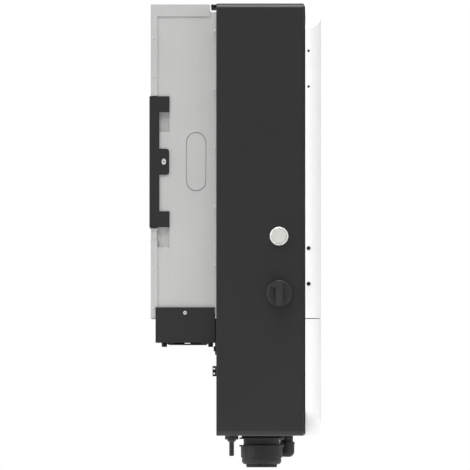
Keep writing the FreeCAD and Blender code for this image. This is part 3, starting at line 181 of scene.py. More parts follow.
class Nodes:
    """Short way to add and link shader nodes in one material."""

    def __init__(self, material):
        material.use_nodes = True
        self.tree = material.node_tree
        self.tree.nodes.clear()
        self.out = self.add("ShaderNodeOutputMaterial")
        self.shader = self.add("ShaderNodeBsdfPrincipled")
        self.link(self.shader.outputs["BSDF"], self.out.inputs["Surface"])
        self.place = self.add("ShaderNodeTexCoord").outputs["Object"]

    def add(self, kind, **settings):
        node = self.tree.nodes.new(kind)
        for key, value in settings.items():
            setattr(node, key, value)
        return node

    def link(self, start, end):
        self.tree.links.new(start, end)

    def stretched(self, scale):
        """Object coordinates scaled differently along each axis."""
        node = self.add("ShaderNodeMapping")
        node.inputs["Scale"].default_value = scale
        self.link(self.place, node.inputs["Vector"])
        return node.outputs["Vector"]

    def noise(self, scale, detail=3.0, rough=0.55, vector=None):
        """Noise with this many cells to the metre."""
        node = self.add("ShaderNodeTexNoise")
        node.inputs["Scale"].default_value = scale
        node.inputs["Detail"].default_value = detail
        node.inputs["Roughness"].default_value = rough
        self.link(vector or self.place, node.inputs["Vector"])
        return node.outputs["Fac"]

    def spread(self, value, low, high, start=0.3, end=0.7):
        """Value between start and end carried to low and high."""
        node = self.add("ShaderNodeMapRange")
        for key, number in (("From Min", start), ("From Max", end), ("To Min", low), ("To Max", high)):
            node.inputs[key].default_value = number
        self.link(value, node.inputs["Value"])
        return node.outputs["Result"]

    def ramp(self, value, stops):
        """Value turned into a colour that runs through the stops, each a place and a tone."""
        node = self.add("ShaderNodeValToRGB")
        band = node.color_ramp
        while len(band.elements) < len(stops):
            band.elements.new(0.5)
        for element, (stop, tone) in zip(band.elements, stops):
            element.position = stop
            element.color = (*tone, 1.0)
        self.link(value, node.inputs["Fac"])
        return node.outputs["Color"]

    def mix(self, share, first, second):
        """First colour where share is 0 and second where it is 1. Each is a socket or a tone."""
        node = self.add("ShaderNodeMix", data_type="RGBA")
        self.link(share, node.inputs["Factor"])
        for number, source in zip(COLOUR_INPUTS, (first, second)):
            if isinstance(source, bpy.types.NodeSocket):
                self.link(source, node.inputs[number])
            else:
                node.inputs[number].default_value = (*source, 1.0)
        return node.outputs[COLOUR_OUTPUT]

    def bump(self, height, depth):
        """Relief from a value between 0 and 1, depth metres deep."""
        node = self.add("ShaderNodeBump")
        node.inputs["Strength"].default_value = 1.0
        node.inputs["Distance"].default_value = depth
        self.link(height, node.inputs["Height"])
        return node.outputs["Normal"]

    def paint(self, **sources):
        """Links sources to the shader's sockets: colour, rough, metal and relief."""
        sockets = {"colour": "Base Color", "rough": "Roughness", "metal": "Metallic", "relief": "Normal"}
        for key, source in sources.items():
            self.link(source, self.shader.inputs[sockets[key]])


def scaled(tone, k):
    """The same colour, lighter or darker."""
    return tuple(min(1.0, c * k) for c in tone)


def powder_coat(name, tone, rough, spread=0.06, grain=900.0, depth=0.04 * MM, sheen=0.4):
    """Sprayed and baked paint: fine orange peel, faint cloudiness, slightly uneven gloss."""
    material = bpy.data.materials.new(name)
    n = Nodes(material)
    cloud = n.noise(scale=6.0, detail=4.0)
    fleck = n.noise(scale=2400.0, detail=2.0)
    base = n.ramp(cloud, [(0.3, scaled(tone, 1 - spread)), (0.7, scaled(tone, 1 + spread))])
    speck = n.spread(fleck, 0.0, 0.10, start=0.45, end=0.8)
    gloss = n.noise(scale=60.0, detail=5.0)
    peel = n.noise(scale=grain, detail=3.0, rough=0.5)
    n.paint(
        colour=n.mix(speck, base, scaled(tone, 1.5)),
        rough=n.spread(gloss, rough - 0.01, rough + 0.03),
        relief=n.bump(peel, depth))
    n.shader.inputs["Specular IOR Level"].default_value = sheen
    return material


def painted_screws(name, upper, lower, border, rough):
    """Screws painted over with the part that they hold: one tone above a height and another below it."""
    material = bpy.data.materials.new(name)
    n = Nodes(material)
    height = n.add("ShaderNodeSeparateXYZ")
    n.link(n.place, height.inputs["Vector"])
    pick = n.spread(height.outputs["Z"], 1.0, 0.0, start=border - MM, end=border + MM)
    cloud = n.noise(scale=30.0)
    light = n.ramp(cloud, [(0.3, scaled(upper, 0.95)), (0.7, scaled(upper, 1.05))])
    dark = n.ramp(cloud, [(0.3, scaled(lower, 0.9)), (0.7, scaled(lower, 1.1))])
    n.paint(
        colour=n.mix(pick, light, dark),
        rough=n.spread(n.noise(scale=90.0), rough - 0.05, rough + 0.05),
        relief=n.bump(n.noise(scale=900.0), 0.03 * MM))
    return material


# Colour of the painted shade inside a screw head's recess
RECESS_SHADE_TONE = (0.03, 0.03, 0.03)


def head_with_painted_recess_shade(name, tone, rough, middle, radius):
    """Plated screw head with the shade of its recess painted as a dark disc in its middle, seen along X."""
    material = bpy.data.materials.new(name)
    n = Nodes(material)
    shift = n.add("ShaderNodeMapping")
    shift.inputs["Location"].default_value = (0.0, -middle.y, -middle.z)
    shift.inputs["Scale"].default_value = (0.0, 1.0, 1.0)
    n.link(n.place, shift.inputs["Vector"])
    reach = n.add("ShaderNodeVectorMath", operation="LENGTH")
    n.link(shift.outputs["Vector"], reach.inputs[0])
    # 0 inside the painted recess shade, 1 on the plated ring outside it
    outside_recess_shade = n.spread(reach.outputs["Value"], 0.0, 1.0, start=0.8 * radius, end=1.1 * radius)
    bloom = n.noise(scale=160.0, detail=4.0)
    bright = n.ramp(bloom, [(0.3, scaled(tone, 0.9)), (0.7, scaled(tone, 1.1))])
    # Painted shade: a dark disc in the middle of the head stands in for the recess's shadow, plated tone
    # outside it
    n.paint(
        colour=n.mix(outside_recess_shade, RECESS_SHADE_TONE, bright),
        rough=n.spread(n.noise(scale=300.0), rough - 0.05, rough + 0.1),
        metal=n.spread(outside_recess_shade, 0.2, 0.35, start=0.0, end=1.0),
        relief=n.bump(n.noise(scale=900.0), 0.02 * MM))
    return material


def moulded(name, tone, rough, grain=1600.0, depth=0.05 * MM, spread=0.08):
    """Moulded plastic with a fine spark-eroded texture."""
    material = bpy.data.materials.new(name)
    n = Nodes(material)
    flow = n.noise(scale=14.0)
    gloss = n.noise(scale=220.0, detail=4.0)
    skin = n.noise(scale=grain, detail=4.0, rough=0.7)
    n.paint(
        colour=n.ramp(flow, [(0.3, scaled(tone, 1 - spread)), (0.72, scaled(tone, 1 + spread))]),
        rough=n.spread(gloss, rough - 0.06, rough + 0.08),
        relief=n.bump(skin, depth))
    return material


def rolled_sheet(name, tone, rough, metallic, spread=0.035):
    """Rolled metal sheet: faint upright grain and soft mottling."""
    material = bpy.data.materials.new(name)
    n = Nodes(material)
    across, along = 420.0, 6.0
    grain = n.noise(scale=1.0, detail=5.0, rough=0.6, vector=n.stretched((across, across, along)))
    mottle = n.noise(scale=9.0, detail=4.0)
    base = n.ramp(mottle, [(0.3, scaled(tone, 1 - spread)), (0.7, scaled(tone, 1 + spread))])
    n.paint(
        colour=n.mix(n.spread(grain, 0.0, 0.22), base, scaled(tone, 0.86)),
        rough=n.spread(grain, rough - 0.06, rough + 0.08),
        relief=n.bump(grain, 0.012 * MM))
    n.shader.inputs["Metallic"].default_value = metallic
    return material


def plated(name, tone, rough, metallic=1.0):
    """Turned and plated steel: fine mottled plating with tiny dark pits."""
    material = bpy.data.materials.new(name)
    n = Nodes(material)
    bloom = n.noise(scale=160.0, detail=4.0)
    pits = n.noise(scale=2600.0, detail=2.0)
    base = n.ramp(bloom, [(0.3, scaled(tone, 0.88)), (0.7, scaled(tone, 1.08))])
    n.paint(
        colour=n.mix(n.spread(pits, 0.0, 0.35, start=0.6, end=0.8), base, scaled(tone, 0.45)),
        rough=n.spread(bloom, rough - 0.07, rough + 0.1),
        relief=n.bump(n.noise(scale=900.0), 0.02 * MM))
    n.shader.inputs["Metallic"].default_value = metallic
    return material


def rubber(name, tone):
    """Matt rubber with a dusty bloom."""
    material = bpy.data.materials.new(name)
    n = Nodes(material)
    dust = n.noise(scale=75.0, detail=5.0)
    n.paint(
        colour=n.ramp(dust, [(0.35, scaled(tone, 0.8)), (0.75, scaled(tone, 1.5))]),
        rough=n.spread(dust, 0.62, 0.8),
        relief=n.bump(n.noise(scale=1300.0, detail=4.0), 0.05 * MM))
    return material


def circuit_board(name, mask):
    """Solder mask with lighter copper runs under it and tinned pads."""
    material = bpy.data.materials.new(name)
    n = Nodes(material)
    brick = n.add("ShaderNodeTexBrick", offset=0.35, squash=0.6, squash_frequency=3)
    settings = {
        "Scale": 60.0, "Mortar Size": 0.045, "Brick Width": 0.9, "Row Height": 0.16,
        "Color1": (*mask, 1.0), "Color2": (*scaled(mask, 0.8), 1.0), "Mortar": (*scaled(mask, 1.9), 1.0)}
    for key, value in settings.items():
        brick.inputs[key].default_value = value
    turn = n.add("ShaderNodeMapping")
    turn.inputs["Rotation"].default_value = (math.pi / 2, 0.0, 0.0)
    n.link(n.place, turn.inputs["Vector"])
    n.link(turn.outputs["Vector"], brick.inputs["Vector"])
    cells = n.add("ShaderNodeTexVoronoi", feature="F1")
    cells.inputs["Scale"].default_value = 140.0
    n.link(n.place, cells.inputs["Vector"])
    pad = n.spread(cells.outputs["Distance"], 1.0, 0.0, start=0.16, end=0.2)
    tin = (0.55, 0.55, 0.5)
    n.paint(
        colour=n.mix(pad, brick.outputs["Color"], tin),
        rough=n.spread(pad, 0.42, 0.25, start=0.0, end=1.0),
        relief=n.bump(brick.outputs["Fac"], 0.04 * MM))
    return material


def smoked_window(name):
    """Tinted window with a faint inner haze."""
    material = bpy.data.materials.new(name)
    n = Nodes(material)
    haze = n.noise(scale=40.0)
    n.paint(
        colour=n.ramp(haze, [(0.3, (0.16, 0.17, 0.18)), (0.7, (0.22, 0.23, 0.24))]),
        rough=n.spread(haze, 0.08, 0.14))
    n.shader.inputs["Transmission Weight"].default_value = 0.5
    n.shader.inputs["IOR"].default_value = 1.49
    n.shader.inputs["Coat Weight"].default_value = 0.3
    return material


FINISHES = {}


def make_finishes():
    """Makes every finish once, from the settings."""
    finish = bpy.context.scene.inverter_finish
    FINISHES.update({
        "case_paint": powder_coat("dark_powder_coat", tuple(finish.case_grey), finish.coat_gloss),
        "cover_paint": powder_coat(
            "white_powder_coat", tuple(finish.cover_white), finish.white_gloss,
            spread=0.012, grain=700.0, depth=0.03 * MM),
        "duct_sheet": rolled_sheet("light_duct_sheet", tuple(finish.duct_grey), 0.5, 0.15),
        "lid_sheet": rolled_sheet("plain_lid_sheet", (0.42, 0.42, 0.42), 0.45, 0.6),
        "sink_aluminium": rolled_sheet("fin_aluminium", (0.50, 0.50, 0.51), 0.42, 0.75, spread=0.06),
        "black_rubber": rubber("black_rubber", (0.012, 0.012, 0.012)),
        "dark_plastic": moulded("knob_plastic", tuple(finish.knob_grey), 0.45),
        "gland_plastic": moulded("gland_nylon", tuple(finish.gland_grey), 0.5),
        "fan_plastic": moulded("fan_plastic", (0.010, 0.010, 0.011), 0.42),
        "plated_steel": plated("zinc_plate", tuple(finish.plate_steel), 0.32),
        "black_steel": plated("black_zinc", (0.030, 0.030, 0.032), 0.42, 0.7),
        "button_metal": plated("bright_button_ring", (0.90, 0.90, 0.89), 0.22, 0.35),
        "button_cap": moulded(
            "button_cap_plastic", tuple(finish.button_grey), 0.35,
            grain=1200.0, depth=0.02 * MM, spread=0.03),
        "lens": smoked_window("smoked_window"),
        "board": circuit_board("green_board", (0.012, 0.075, 0.030)),
        "module_plastic": moulded("black_module", (0.016, 0.016, 0.018), 0.5),
        "capacitor_can": moulded(
            "capacitor_sleeve", (0.010, 0.014, 0.035), 0.3, grain=900.0, depth=0.02 * MM),
        "potted_core": plated("potted_pot", (0.10, 0.10, 0.10), 0.6, 0.3),
        "terminal_plastic": moulded("grey_terminal", (0.27, 0.28, 0.27), 0.45),
    })


# ---------------------------------------------------------------- mesh helpers
def finish_piece(bm, name, body, slot, replaces=(), sharp=35.0, bevel=0.0):
    """Turns a bmesh into a piece that rides on a body, with its finish and smoothing."""
    bmesh.ops.remove_doubles(bm, verts=bm.verts, dist=MERGE)
    bmesh.ops.recalc_face_normals(bm, faces=bm.faces)
    mesh = bpy.data.meshes.new(name)
    bm.to_mesh(mesh)
    bm.free()
    mesh.shade_smooth()
    mesh.set_sharp_from_angle(angle=math.radians(sharp))
    piece = bpy.data.objects.new(name, mesh)
    bpy.context.scene.collection.objects.link(piece)
    if bevel:
        soften(piece, bevel)
    piece.data.materials.append(FINISHES[slot])
    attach(piece, body)
    if replaces:
        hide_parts(*replaces)
    return piece


def soften(piece, width, segments=2):
    """Small rounding on sharp edges."""
    rounding = piece.modifiers.new("edge_rounding", "BEVEL")
    rounding.width = width
    rounding.segments = segments
    rounding.limit_method = "ANGLE"
    rounding.angle_limit = math.radians(40)


def turn_profile(bm, points, place, steps=48):
    """Spins a chain of (radius, height) points about the Z line through place."""
    chain = [bm.verts.new((place.x + r, place.y, place.z + h)) for r, h in points]
    edges = [bm.edges.new(pair) for pair in zip(chain, chain[1:])]
    bmesh.ops.spin(
        bm, geom=chain + edges, cent=place, axis=Z_AXIS, dvec=Vector(), angle=math.tau,
        steps=steps, use_merge=True, use_normal_flip=False, use_duplicate=False)
    bmesh.ops.remove_doubles(bm, verts=bm.verts, dist=MERGE)


def wire_ring(bm, place, radius, wire, steps=40, around=8):
    """A closed ring of round wire, flat in the XY plane."""
    made = bmesh.ops.create_circle(bm, cap_ends=False, segments=around, radius=wire)
    spot = Matrix.Translation(place + Vector((radius, 0, 0))) @ Matrix.Rotation(math.pi / 2, 4, "X")
    bmesh.ops.transform(bm, matrix=spot, verts=made["verts"])
    edges = {e for v in made["verts"] for e in v.link_edges}
    bmesh.ops.spin(
        bm, geom=list(made["verts"]) + list(edges), cent=place, axis=Z_AXIS, dvec=Vector(), angle=math.tau,
        steps=steps, use_merge=True, use_normal_flip=False, use_duplicate=False)


def rod(bm, start, end, radius, around=8):
    """A straight round rod with closed ends."""
    way = end - start
    made = bmesh.ops.create_cone(
        bm, cap_ends=True, cap_tris=False, segments=around,
        radius1=radius, radius2=radius, depth=way.length)
    turn = way.to_track_quat("Z", "Y").to_matrix().to_4x4()
    bmesh.ops.transform(bm, matrix=Matrix.Translation((start + end) / 2) @ turn, verts=made["verts"])


def islands(node):
    """Boxes of the separate solids in a frame node, as (low, high)."""
    bm = bmesh.new()
    bm.from_mesh(NODES[node].data)
    bmesh.ops.remove_doubles(bm, verts=bm.verts, dist=10 * MERGE)
    seen = set()
    found = []
    for start in bm.verts:
        if start in seen:
            continue
        stack = [start]
        seen.add(start)
        corners = []
        while stack:
            v = stack.pop()
            corners.append(v.co.copy())
            for e in v.link_edges:
                other = e.other_vert(v)
                if other not in seen:
                    seen.add(other)
                    stack.append(other)
        low = Vector([min(c[k] for c in corners) for k in range(3)])
        high = Vector([max(c[k] for c in corners) for k in range(3)])
        found.append((low, high))
    bm.free()
    return found


# ---------------------------------------------------------------- operators
# Rounding of the frame parts' edges, in millimetres
ROUNDED = {
    "case_shell": 0.6, "upper_cover": 0.8, "lower_cover": 0.8, "rear_cover": 0.5,
    "duct_side_left": 0.4, "duct_side_right": 0.4, "fan_tray": 0.8, "wall_bracket": 0.6,
    "switch_knob": 0.8, "pv_sockets_minus": 0.3, "pv_plugs_plus": 0.4, "com_gland_bodies": 0.3,
    "ac_gland_bodies": 0.4, "data_port_cap": 0.5, "battery_sockets": 0.4, "button_housing": 0.3,
    "rear_wall_screws": 0.2, "tray_side_screws": 0.3, "earth_screw": 0.3, "bracket_lock_screws": 0.4,
    "fan_screws": 0.3, "gland_rubbers": 0.4, "hanger_plates": 0.4,
}

# Radius of the painted shade of the recess in the screw heads on the unit's side, in millimetres
PAINTED_RECESS_SHADE = {"bracket_lock_screws": 1.1, "tray_side_screws": 0.9}


def refinish(node, material):
    """Puts one material on a frame part in place of what it has."""
    materials = NODES[node].data.materials
    materials.clear()
    materials.append(material)


class INVERTER_OT_finishes(bpy.types.Operator):
    """Gives every frame part its paint, plating or plastic, and rounds its folded and moulded edges"""

    bl_idname = "inverter.finishes"
    bl_label = "Finish the frame parts"

    def execute(self, context):
        make_finishes()
        slots = {row["node"]: row["material_slot"] for row in frame["record"]["subparts"]}
        for node in NODES:
            refinish(node, FINISHES[slots[node]])
        finish = context.scene.inverter_finish
        tray_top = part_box("fan_tray")[1].z
        refinish("rear_wall_screws", painted_screws(
            "painted_screws", tuple(finish.duct_grey), tuple(finish.case_grey), tray_top, finish.coat_gloss))
        # Screw heads on the unit's side get the shade of their recess painted in their middle
        for node, radius in PAINTED_RECESS_SHADE.items():
            low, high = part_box(node)
            refinish(node, head_with_painted_recess_shade(
                node + "_plate", tuple(finish.plate_steel), 0.3, (low + high) / 2, radius * MM))
        for node, width in ROUNDED.items():
            part = NODES[node]
            weld = part.modifiers.new("weld", "WELD")
            weld.merge_threshold = MERGE
            flats = part.modifiers.new("whole_flats", "DECIMATE")
            flats.decimate_type = "DISSOLVE"
            flats.angle_limit = math.radians(0.5)
            soften(part, width * MM)
            normals = part.modifiers.new("flat_faces", "WEIGHTED_NORMAL")
            normals.keep_sharp = True
        return {"FINISHED"}


# Rivet head from its middle outwards: share of the head's radius, share of the dome's height
RIVET_HEAD = ((0.0, 0.35), (0.28, 0.35), (0.36, 0.72), (0.55, 0.70), (0.8, 0.45), (1.0, 0.12), (1.0, 0.0))
RIVET_STEM = 0.56  # share of the head's radius
RIVET_DEPTH = 4.5 * MM
RIVET_STANDS = 0.8 * MM  # how far the frame's own rivet head stands out of the sheet


class INVERTER_OT_rivets(bpy.types.Operator):
    """Domed blind rivets along the duct's rear cover"""

    bl_idname = "inverter.rivets"
    bl_label = "Rivets"

    def execute(self, context):
        dome = context.scene.inverter_fittings.rivet_dome
        bm = bmesh.new()
        for low, high in islands("duct_rivets"):
            middle = (low + high) / 2
            outwards = 1 if middle.x > 0 else -1
            radius = (high.z - low.z) / 2
            seat = high.x - RIVET_STANDS if outwards > 0 else low.x + RIVET_STANDS
            stem = RIVET_STEM * radius
            points = [(across * radius, rise * dome) for across, rise in RIVET_HEAD]
            points += [(stem, 0.0), (stem, -RIVET_DEPTH), (0.0, -RIVET_DEPTH)]
            piece = bmesh.new()
            turn_profile(piece, points, Vector(), 20)
            turn = Matrix.Rotation(outwards * math.pi / 2, 4, "Y")
            spot = Matrix.Translation((seat, middle.y, middle.z)) @ turn
            bmesh.ops.transform(piece, matrix=spot, verts=piece.verts)
            mesh = bpy.data.meshes.new("one_rivet")
            piece.to_mesh(mesh)
            piece.free()
            bm.from_mesh(mesh)
            bpy.data.meshes.remove(mesh)
        finish_piece(bm, "domed_rivets", ROOT, "duct_sheet", ["duct_rivets"])
        return {"FINISHED"}


# Finger guard: radii of a screw eye, of its hole, and of the smallest and the largest ring
GUARD_EYE = 3.55 * MM
GUARD_HOLE = 2.15 * MM
GUARD_INNER = 8.0 * MM
GUARD_OUTER = 29.0 * MM


class INVERTER_OT_guards(bpy.types.Operator):
    """Round wire finger guards under the four fans"""

    bl_idname = "inverter.guards"
    bl_label = "Finger guards"

    def execute(self, context):
        fittings = context.scene.inverter_fittings
        wire = fittings.guard_wire / 2
        spacing = (GUARD_OUTER - GUARD_INNER) / (fittings.guard_rings - 1)
        bm = bmesh.new()
        for low, high in islands("finger_guards"):
            middle = (low + high) / 2
            rings = Vector((middle.x, middle.y, low.z + wire))
            bars = Vector((middle.x, middle.y, high.z - wire))
            for k in range(fittings.guard_rings):
                wire_ring(bm, rings, GUARD_INNER + k * spacing, wire)
            corner = ((high.x - low.x) / 2 - GUARD_EYE) * math.sqrt(2)
            foot = low.z - high.z
            eye = [
                (GUARD_HOLE, 0.0), (GUARD_EYE, 0.0), (GUARD_EYE, foot), (GUARD_HOLE, foot), (GUARD_HOLE, 0.0)]
            for k in range(4):
                angle = math.radians(45 + 90 * k)
                way = Vector((math.cos(angle), math.sin(angle), 0))
                rod(bm, bars + way * (GUARD_INNER - wire), bars + way * (corner - GUARD_EYE), wire)
                turn_profile(bm, eye, Vector((middle.x, middle.y, high.z)) + way * corner, 24)
        finish_piece(bm, "wire_finger_guards", ROOT, "black_steel", ["finger_guards"])
        return {"FINISHED"}


SPRING_STEPS = 24  # straight lengths in each turn


class INVERTER_OT_return_spring(bpy.types.Operator):
    """Coil spring behind the start button, built to the size of the frame's spring; it does not shorten as
    the button goes in
    """

    bl_idname = "inverter.return_spring"
    bl_label = "Return spring"

    def execute(self, context):
        fittings = context.scene.inverter_fittings
        low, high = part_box("button_spring")
        middle = (low + high) / 2
        wire = fittings.spring_wire / 2
        radius = (high.z - low.z) / 2 - wire
        steps = fittings.spring_turns * SPRING_STEPS
        rise = (high.x - low.x - 2 * wire) / steps
        bm = bmesh.new()
        made = bmesh.ops.create_circle(bm, cap_ends=True, segments=8, radius=wire)
        start = Vector((low.x + wire, middle.y, middle.z + radius))
        turn = Matrix.Rotation(math.pi / 2, 4, "X")
        bmesh.ops.transform(bm, matrix=Matrix.Translation(start) @ turn, verts=made["verts"])
        bmesh.ops.spin(
            bm, geom=list(bm.verts) + list(bm.edges) + list(bm.faces), cent=middle, axis=X_AXIS,
            dvec=Vector((rise, 0, 0)), angle=math.tau * fittings.spring_turns, steps=steps,
            use_merge=False, use_normal_flip=False, use_duplicate=False)
        spring = finish_piece(bm, "return_spring", ROOT, "plated_steel", ["button_spring"])
        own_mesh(spring)
        return {"FINISHED"}


class INVERTER_OT_dish_plates(bpy.types.Operator):
    """Rounded cover plates sitting in the shallow dishes of the duct's sides"""

    bl_idname = "inverter.dish_plates"
    bl_label = "Dish plates"

    def execute(self, context):
        fittings = context.scene.inverter_fittings
        radius = fittings.dish_width / 2 - fittings.dish_gap
        stretch = (fittings.dish_length - fittings.dish_width) / 2
        duct_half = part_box("rear_cover")[1].x - fittings.duct_sheet
        bm = bmesh.new()
        for outwards in (-1, 1):
            made = bmesh.ops.create_circle(bm, cap_ends=True, segments=64, radius=radius)
            for v in made["verts"]:
                if abs(v.co.y) > 0.1 * MERGE:
                    v.co.y += math.copysign(stretch, v.co.y)
            faces = list({f for v in made["verts"] for f in v.link_faces})
            lifted = bmesh.ops.extrude_face_region(bm, geom=faces)["geom"]
            top = [v for v in lifted if isinstance(v, bmesh.types.BMVert)]
            bmesh.ops.translate(bm, vec=(0, 0, fittings.dish_plate), verts=top)
            both = list(made["verts"]) + top
            turn = Matrix.Rotation(outwards * math.pi / 2, 4, "Y") @ Matrix.Rotation(math.pi / 2, 4, "Z")
            floor_x = outwards * (duct_half - fittings.dish_depth)
            seat = Matrix.Translation((floor_x, -fittings.dish_place, 0.0))
            bmesh.ops.transform(bm, matrix=seat @ turn, verts=both)
        finish_piece(bm, "dish_plates", ROOT, "duct_sheet", bevel=0.4 * MM)
        return {"FINISHED"}


# Rotor: radii of the hub, of the bore for the motor and of the shaft, then the hub's and the blades' shape
ROTOR_HUB = 16.0 * MM
ROTOR_BORE = 13.3 * MM
ROTOR_SHAFT = 1.55 * MM
HUB_ROUND = 1.5 * MM
HUB_ROOF = 2.5 * MM
HUB_SHORT = 4.0 * MM
BLADES = 7
BLADE_SINK = 0.4 * MM
BLADE_TIP_GAP = 0.3 * MM
BLADE_CAMBER = 2.6 * MM
BLADE_SWEEP = 0.22
BLADE_FLOOR = 4.6 * MM
BLADE_ROOF = 0.6 * MM


def blade_point(along, across, tip, tall):
    """A point of a fan blade as (radius, angle, height), for shares along its span and across its chord."""
    radius = ROTOR_HUB - BLADE_SINK + along * (tip - ROTOR_HUB + BLADE_SINK)
    pitch = math.radians(52 - 20 * along)
    chord = across * (17.0 + 9.0 * along) * MM
    camber = BLADE_CAMBER * (1 - (2 * across) ** 2)
    rise = chord * math.sin(pitch) + camber * math.cos(pitch)
    shift = chord * math.cos(pitch) - camber * math.sin(pitch)
    height = max(-0.5 * tall + BLADE_FLOOR, min(0.5 * tall - BLADE_ROOF, rise))
    return radius, shift / radius + BLADE_SWEEP * along, height


class INVERTER_OT_rotors(bpy.types.Operator):
    """Fan rotors with curved, twisted blades"""

    bl_idname = "inverter.rotors"
    bl_label = "Fan rotors"

    def execute(self, context):
        thick = context.scene.inverter_fittings.blade_thick
        for number in range(1, 5):
            node = "fan_%d_rotor" % number
            low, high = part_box(node)
            middle = (low + high) / 2
            tip = (high.x - low.x) / 2 - BLADE_TIP_GAP
            tall = high.z - low.z
            skirt = HUB_SHORT - tall
            hub = [
                (0.0, 0.0), (ROTOR_HUB - HUB_ROUND, 0.0), (ROTOR_HUB, -HUB_ROUND), (ROTOR_HUB, skirt),
                (ROTOR_BORE, skirt), (ROTOR_BORE, -HUB_ROOF), (ROTOR_SHAFT, -HUB_ROOF),
                (ROTOR_SHAFT, -tall), (0.0, -tall)]
            bm = bmesh.new()
            turn_profile(bm, hub, Vector((middle.x, middle.y, high.z)), 48)
            for k in range(BLADES):
                grid = bmesh.ops.create_grid(bm, x_segments=9, y_segments=8, size=0.5)
                for v in grid["verts"]:
                    radius, angle, height = blade_point(v.co.x + 0.5, v.co.y, tip, tall)
                    angle += k * math.tau / BLADES
                    v.co = middle + Vector((radius * math.cos(angle), radius * math.sin(angle), height))
                faces = list({f for v in grid["verts"] for f in v.link_faces})
                bmesh.ops.solidify(bm, geom=faces, thickness=thick)
            finish_piece(bm, "fan_%d_blades" % number, "fan_%d" % number, "fan_plastic", [node], 40.0)
        return {"FINISHED"}


def ribbed_nut(bm, base, profile, ribs, span, ring, size):
    """A turned dome nut hanging from base, with round grip ribs of one size on a ring along its side."""
    turn_profile(bm, profile, base, 72)
    low, high = span
    for k in range(ribs):
        angle = math.tau * k / ribs
        spot = base + Vector((ring * math.cos(angle), ring * math.sin(angle), (low + high) / 2))
        made = bmesh.ops.create_cone(
            bm, cap_ends=True, cap_tris=False, segments=12, radius1=size * 0.8, radius2=size,
            depth=high - low)
        bmesh.ops.transform(bm, matrix=Matrix.Translation(spot), verts=made["verts"])


def nut_places(node):
    """The middle of each nut's top, and its greatest radius."""
    for low, high in islands(node):
        middle = (low + high) / 2
        yield Vector((middle.x, middle.y, high.z)), (high.x - low.x) / 2


# Large dome nut from its flange to its lip, in millimetres: inset from its side, depth below its top
LARGE_DOME = (
    (0.0, 2.6), (0.0, 19.2), (0.6, 19.8), (1.75, 19.9), (1.75, 21.2), (1.25, 21.4), (1.25, 24.8),
    (1.55, 26.2), (2.15, 27.4), (3.1, 28.5), (4.25, 29.2), (6.25, 29.8),
)
LARGE_THREAD = 24.9 * MM
LARGE_BORE = 24.0 * MM
LARGE_LEDGE = -16.8 * MM
LARGE_FLANGE = 2.75 * MM


class INVERTER_OT_large_nuts(bpy.types.Operator):
    """Dome nuts of the two large cable glands"""

    bl_idname = "inverter.large_nuts"
    bl_label = "Large gland nuts"

    def execute(self, context):
        ribs = context.scene.inverter_fittings.nut_ribs
        edge = 0.4 * MM
        bm = bmesh.new()
        for base, flange in nut_places("ac_gland_nuts"):
            side = flange - LARGE_FLANGE
            profile = [
                (LARGE_THREAD, 0.0), (flange - edge, 0.0), (flange, -edge), (flange, -2.2 * MM),
                (flange - edge, -2.6 * MM)]
            profile += [(side - inset * MM, -depth * MM) for inset, depth in LARGE_DOME]
            profile += [
                (LARGE_BORE + 0.6 * MM, -29.8 * MM), (LARGE_BORE, -29.3 * MM), (LARGE_BORE, LARGE_LEDGE),
                (LARGE_THREAD, LARGE_LEDGE), (LARGE_THREAD, 0.0)]
            ribbed_nut(bm, base, profile, ribs, (-18.6 * MM, -3.2 * MM), side - 0.9 * MM, 1.3 * MM)
        finish_piece(bm, "large_dome_nuts", ROOT, "gland_plastic", ["ac_gland_nuts"], 32.0)
        return {"FINISHED"}


SMALL_THREAD = 8.7 * MM
SMALL_BORE = 6.2 * MM
SMALL_LEDGE = -13.0 * MM
SMALL_DOME = 4.0 * MM
SMALL_SIDE_END = -15.5 * MM
DOME_STEPS = 9


class INVERTER_OT_small_nuts(bpy.types.Operator):
    """Dome nuts of the two small cable glands"""

    bl_idname = "inverter.small_nuts"
    bl_label = "Small gland nuts"

    def execute(self, context):
        ribs = context.scene.inverter_fittings.small_ribs
        edge = 0.3 * MM
        bm = bmesh.new()
        for base, collar in nut_places("com_gland_nuts"):
            side = collar - 0.5 * MM
            profile = [
                (SMALL_THREAD, 0.0), (collar - edge, 0.0), (collar, -edge), (collar, -4.2 * MM),
                (side, -4.6 * MM), (side, SMALL_SIDE_END)]
            dome = side - SMALL_DOME
            for k in range(1, DOME_STEPS):
                angle = math.radians(90 * k / DOME_STEPS)
                profile.append((SMALL_DOME + dome * math.cos(angle), SMALL_SIDE_END - dome * math.sin(angle)))
            profile += [
                (SMALL_BORE, -23.5 * MM), (SMALL_BORE, SMALL_LEDGE), (SMALL_THREAD, SMALL_LEDGE),
                (SMALL_THREAD, 0.0)]
            ribbed_nut(bm, base, profile, ribs, (-15.0 * MM, -5.0 * MM), side - 0.7 * MM, 0.9 * MM)
        finish_piece(bm, "small_dome_nuts", ROOT, "gland_plastic", ["com_gland_nuts"], 32.0)
        return {"FINISHED"}


SENSOR_MM = 36.0  # width of the camera's sensor


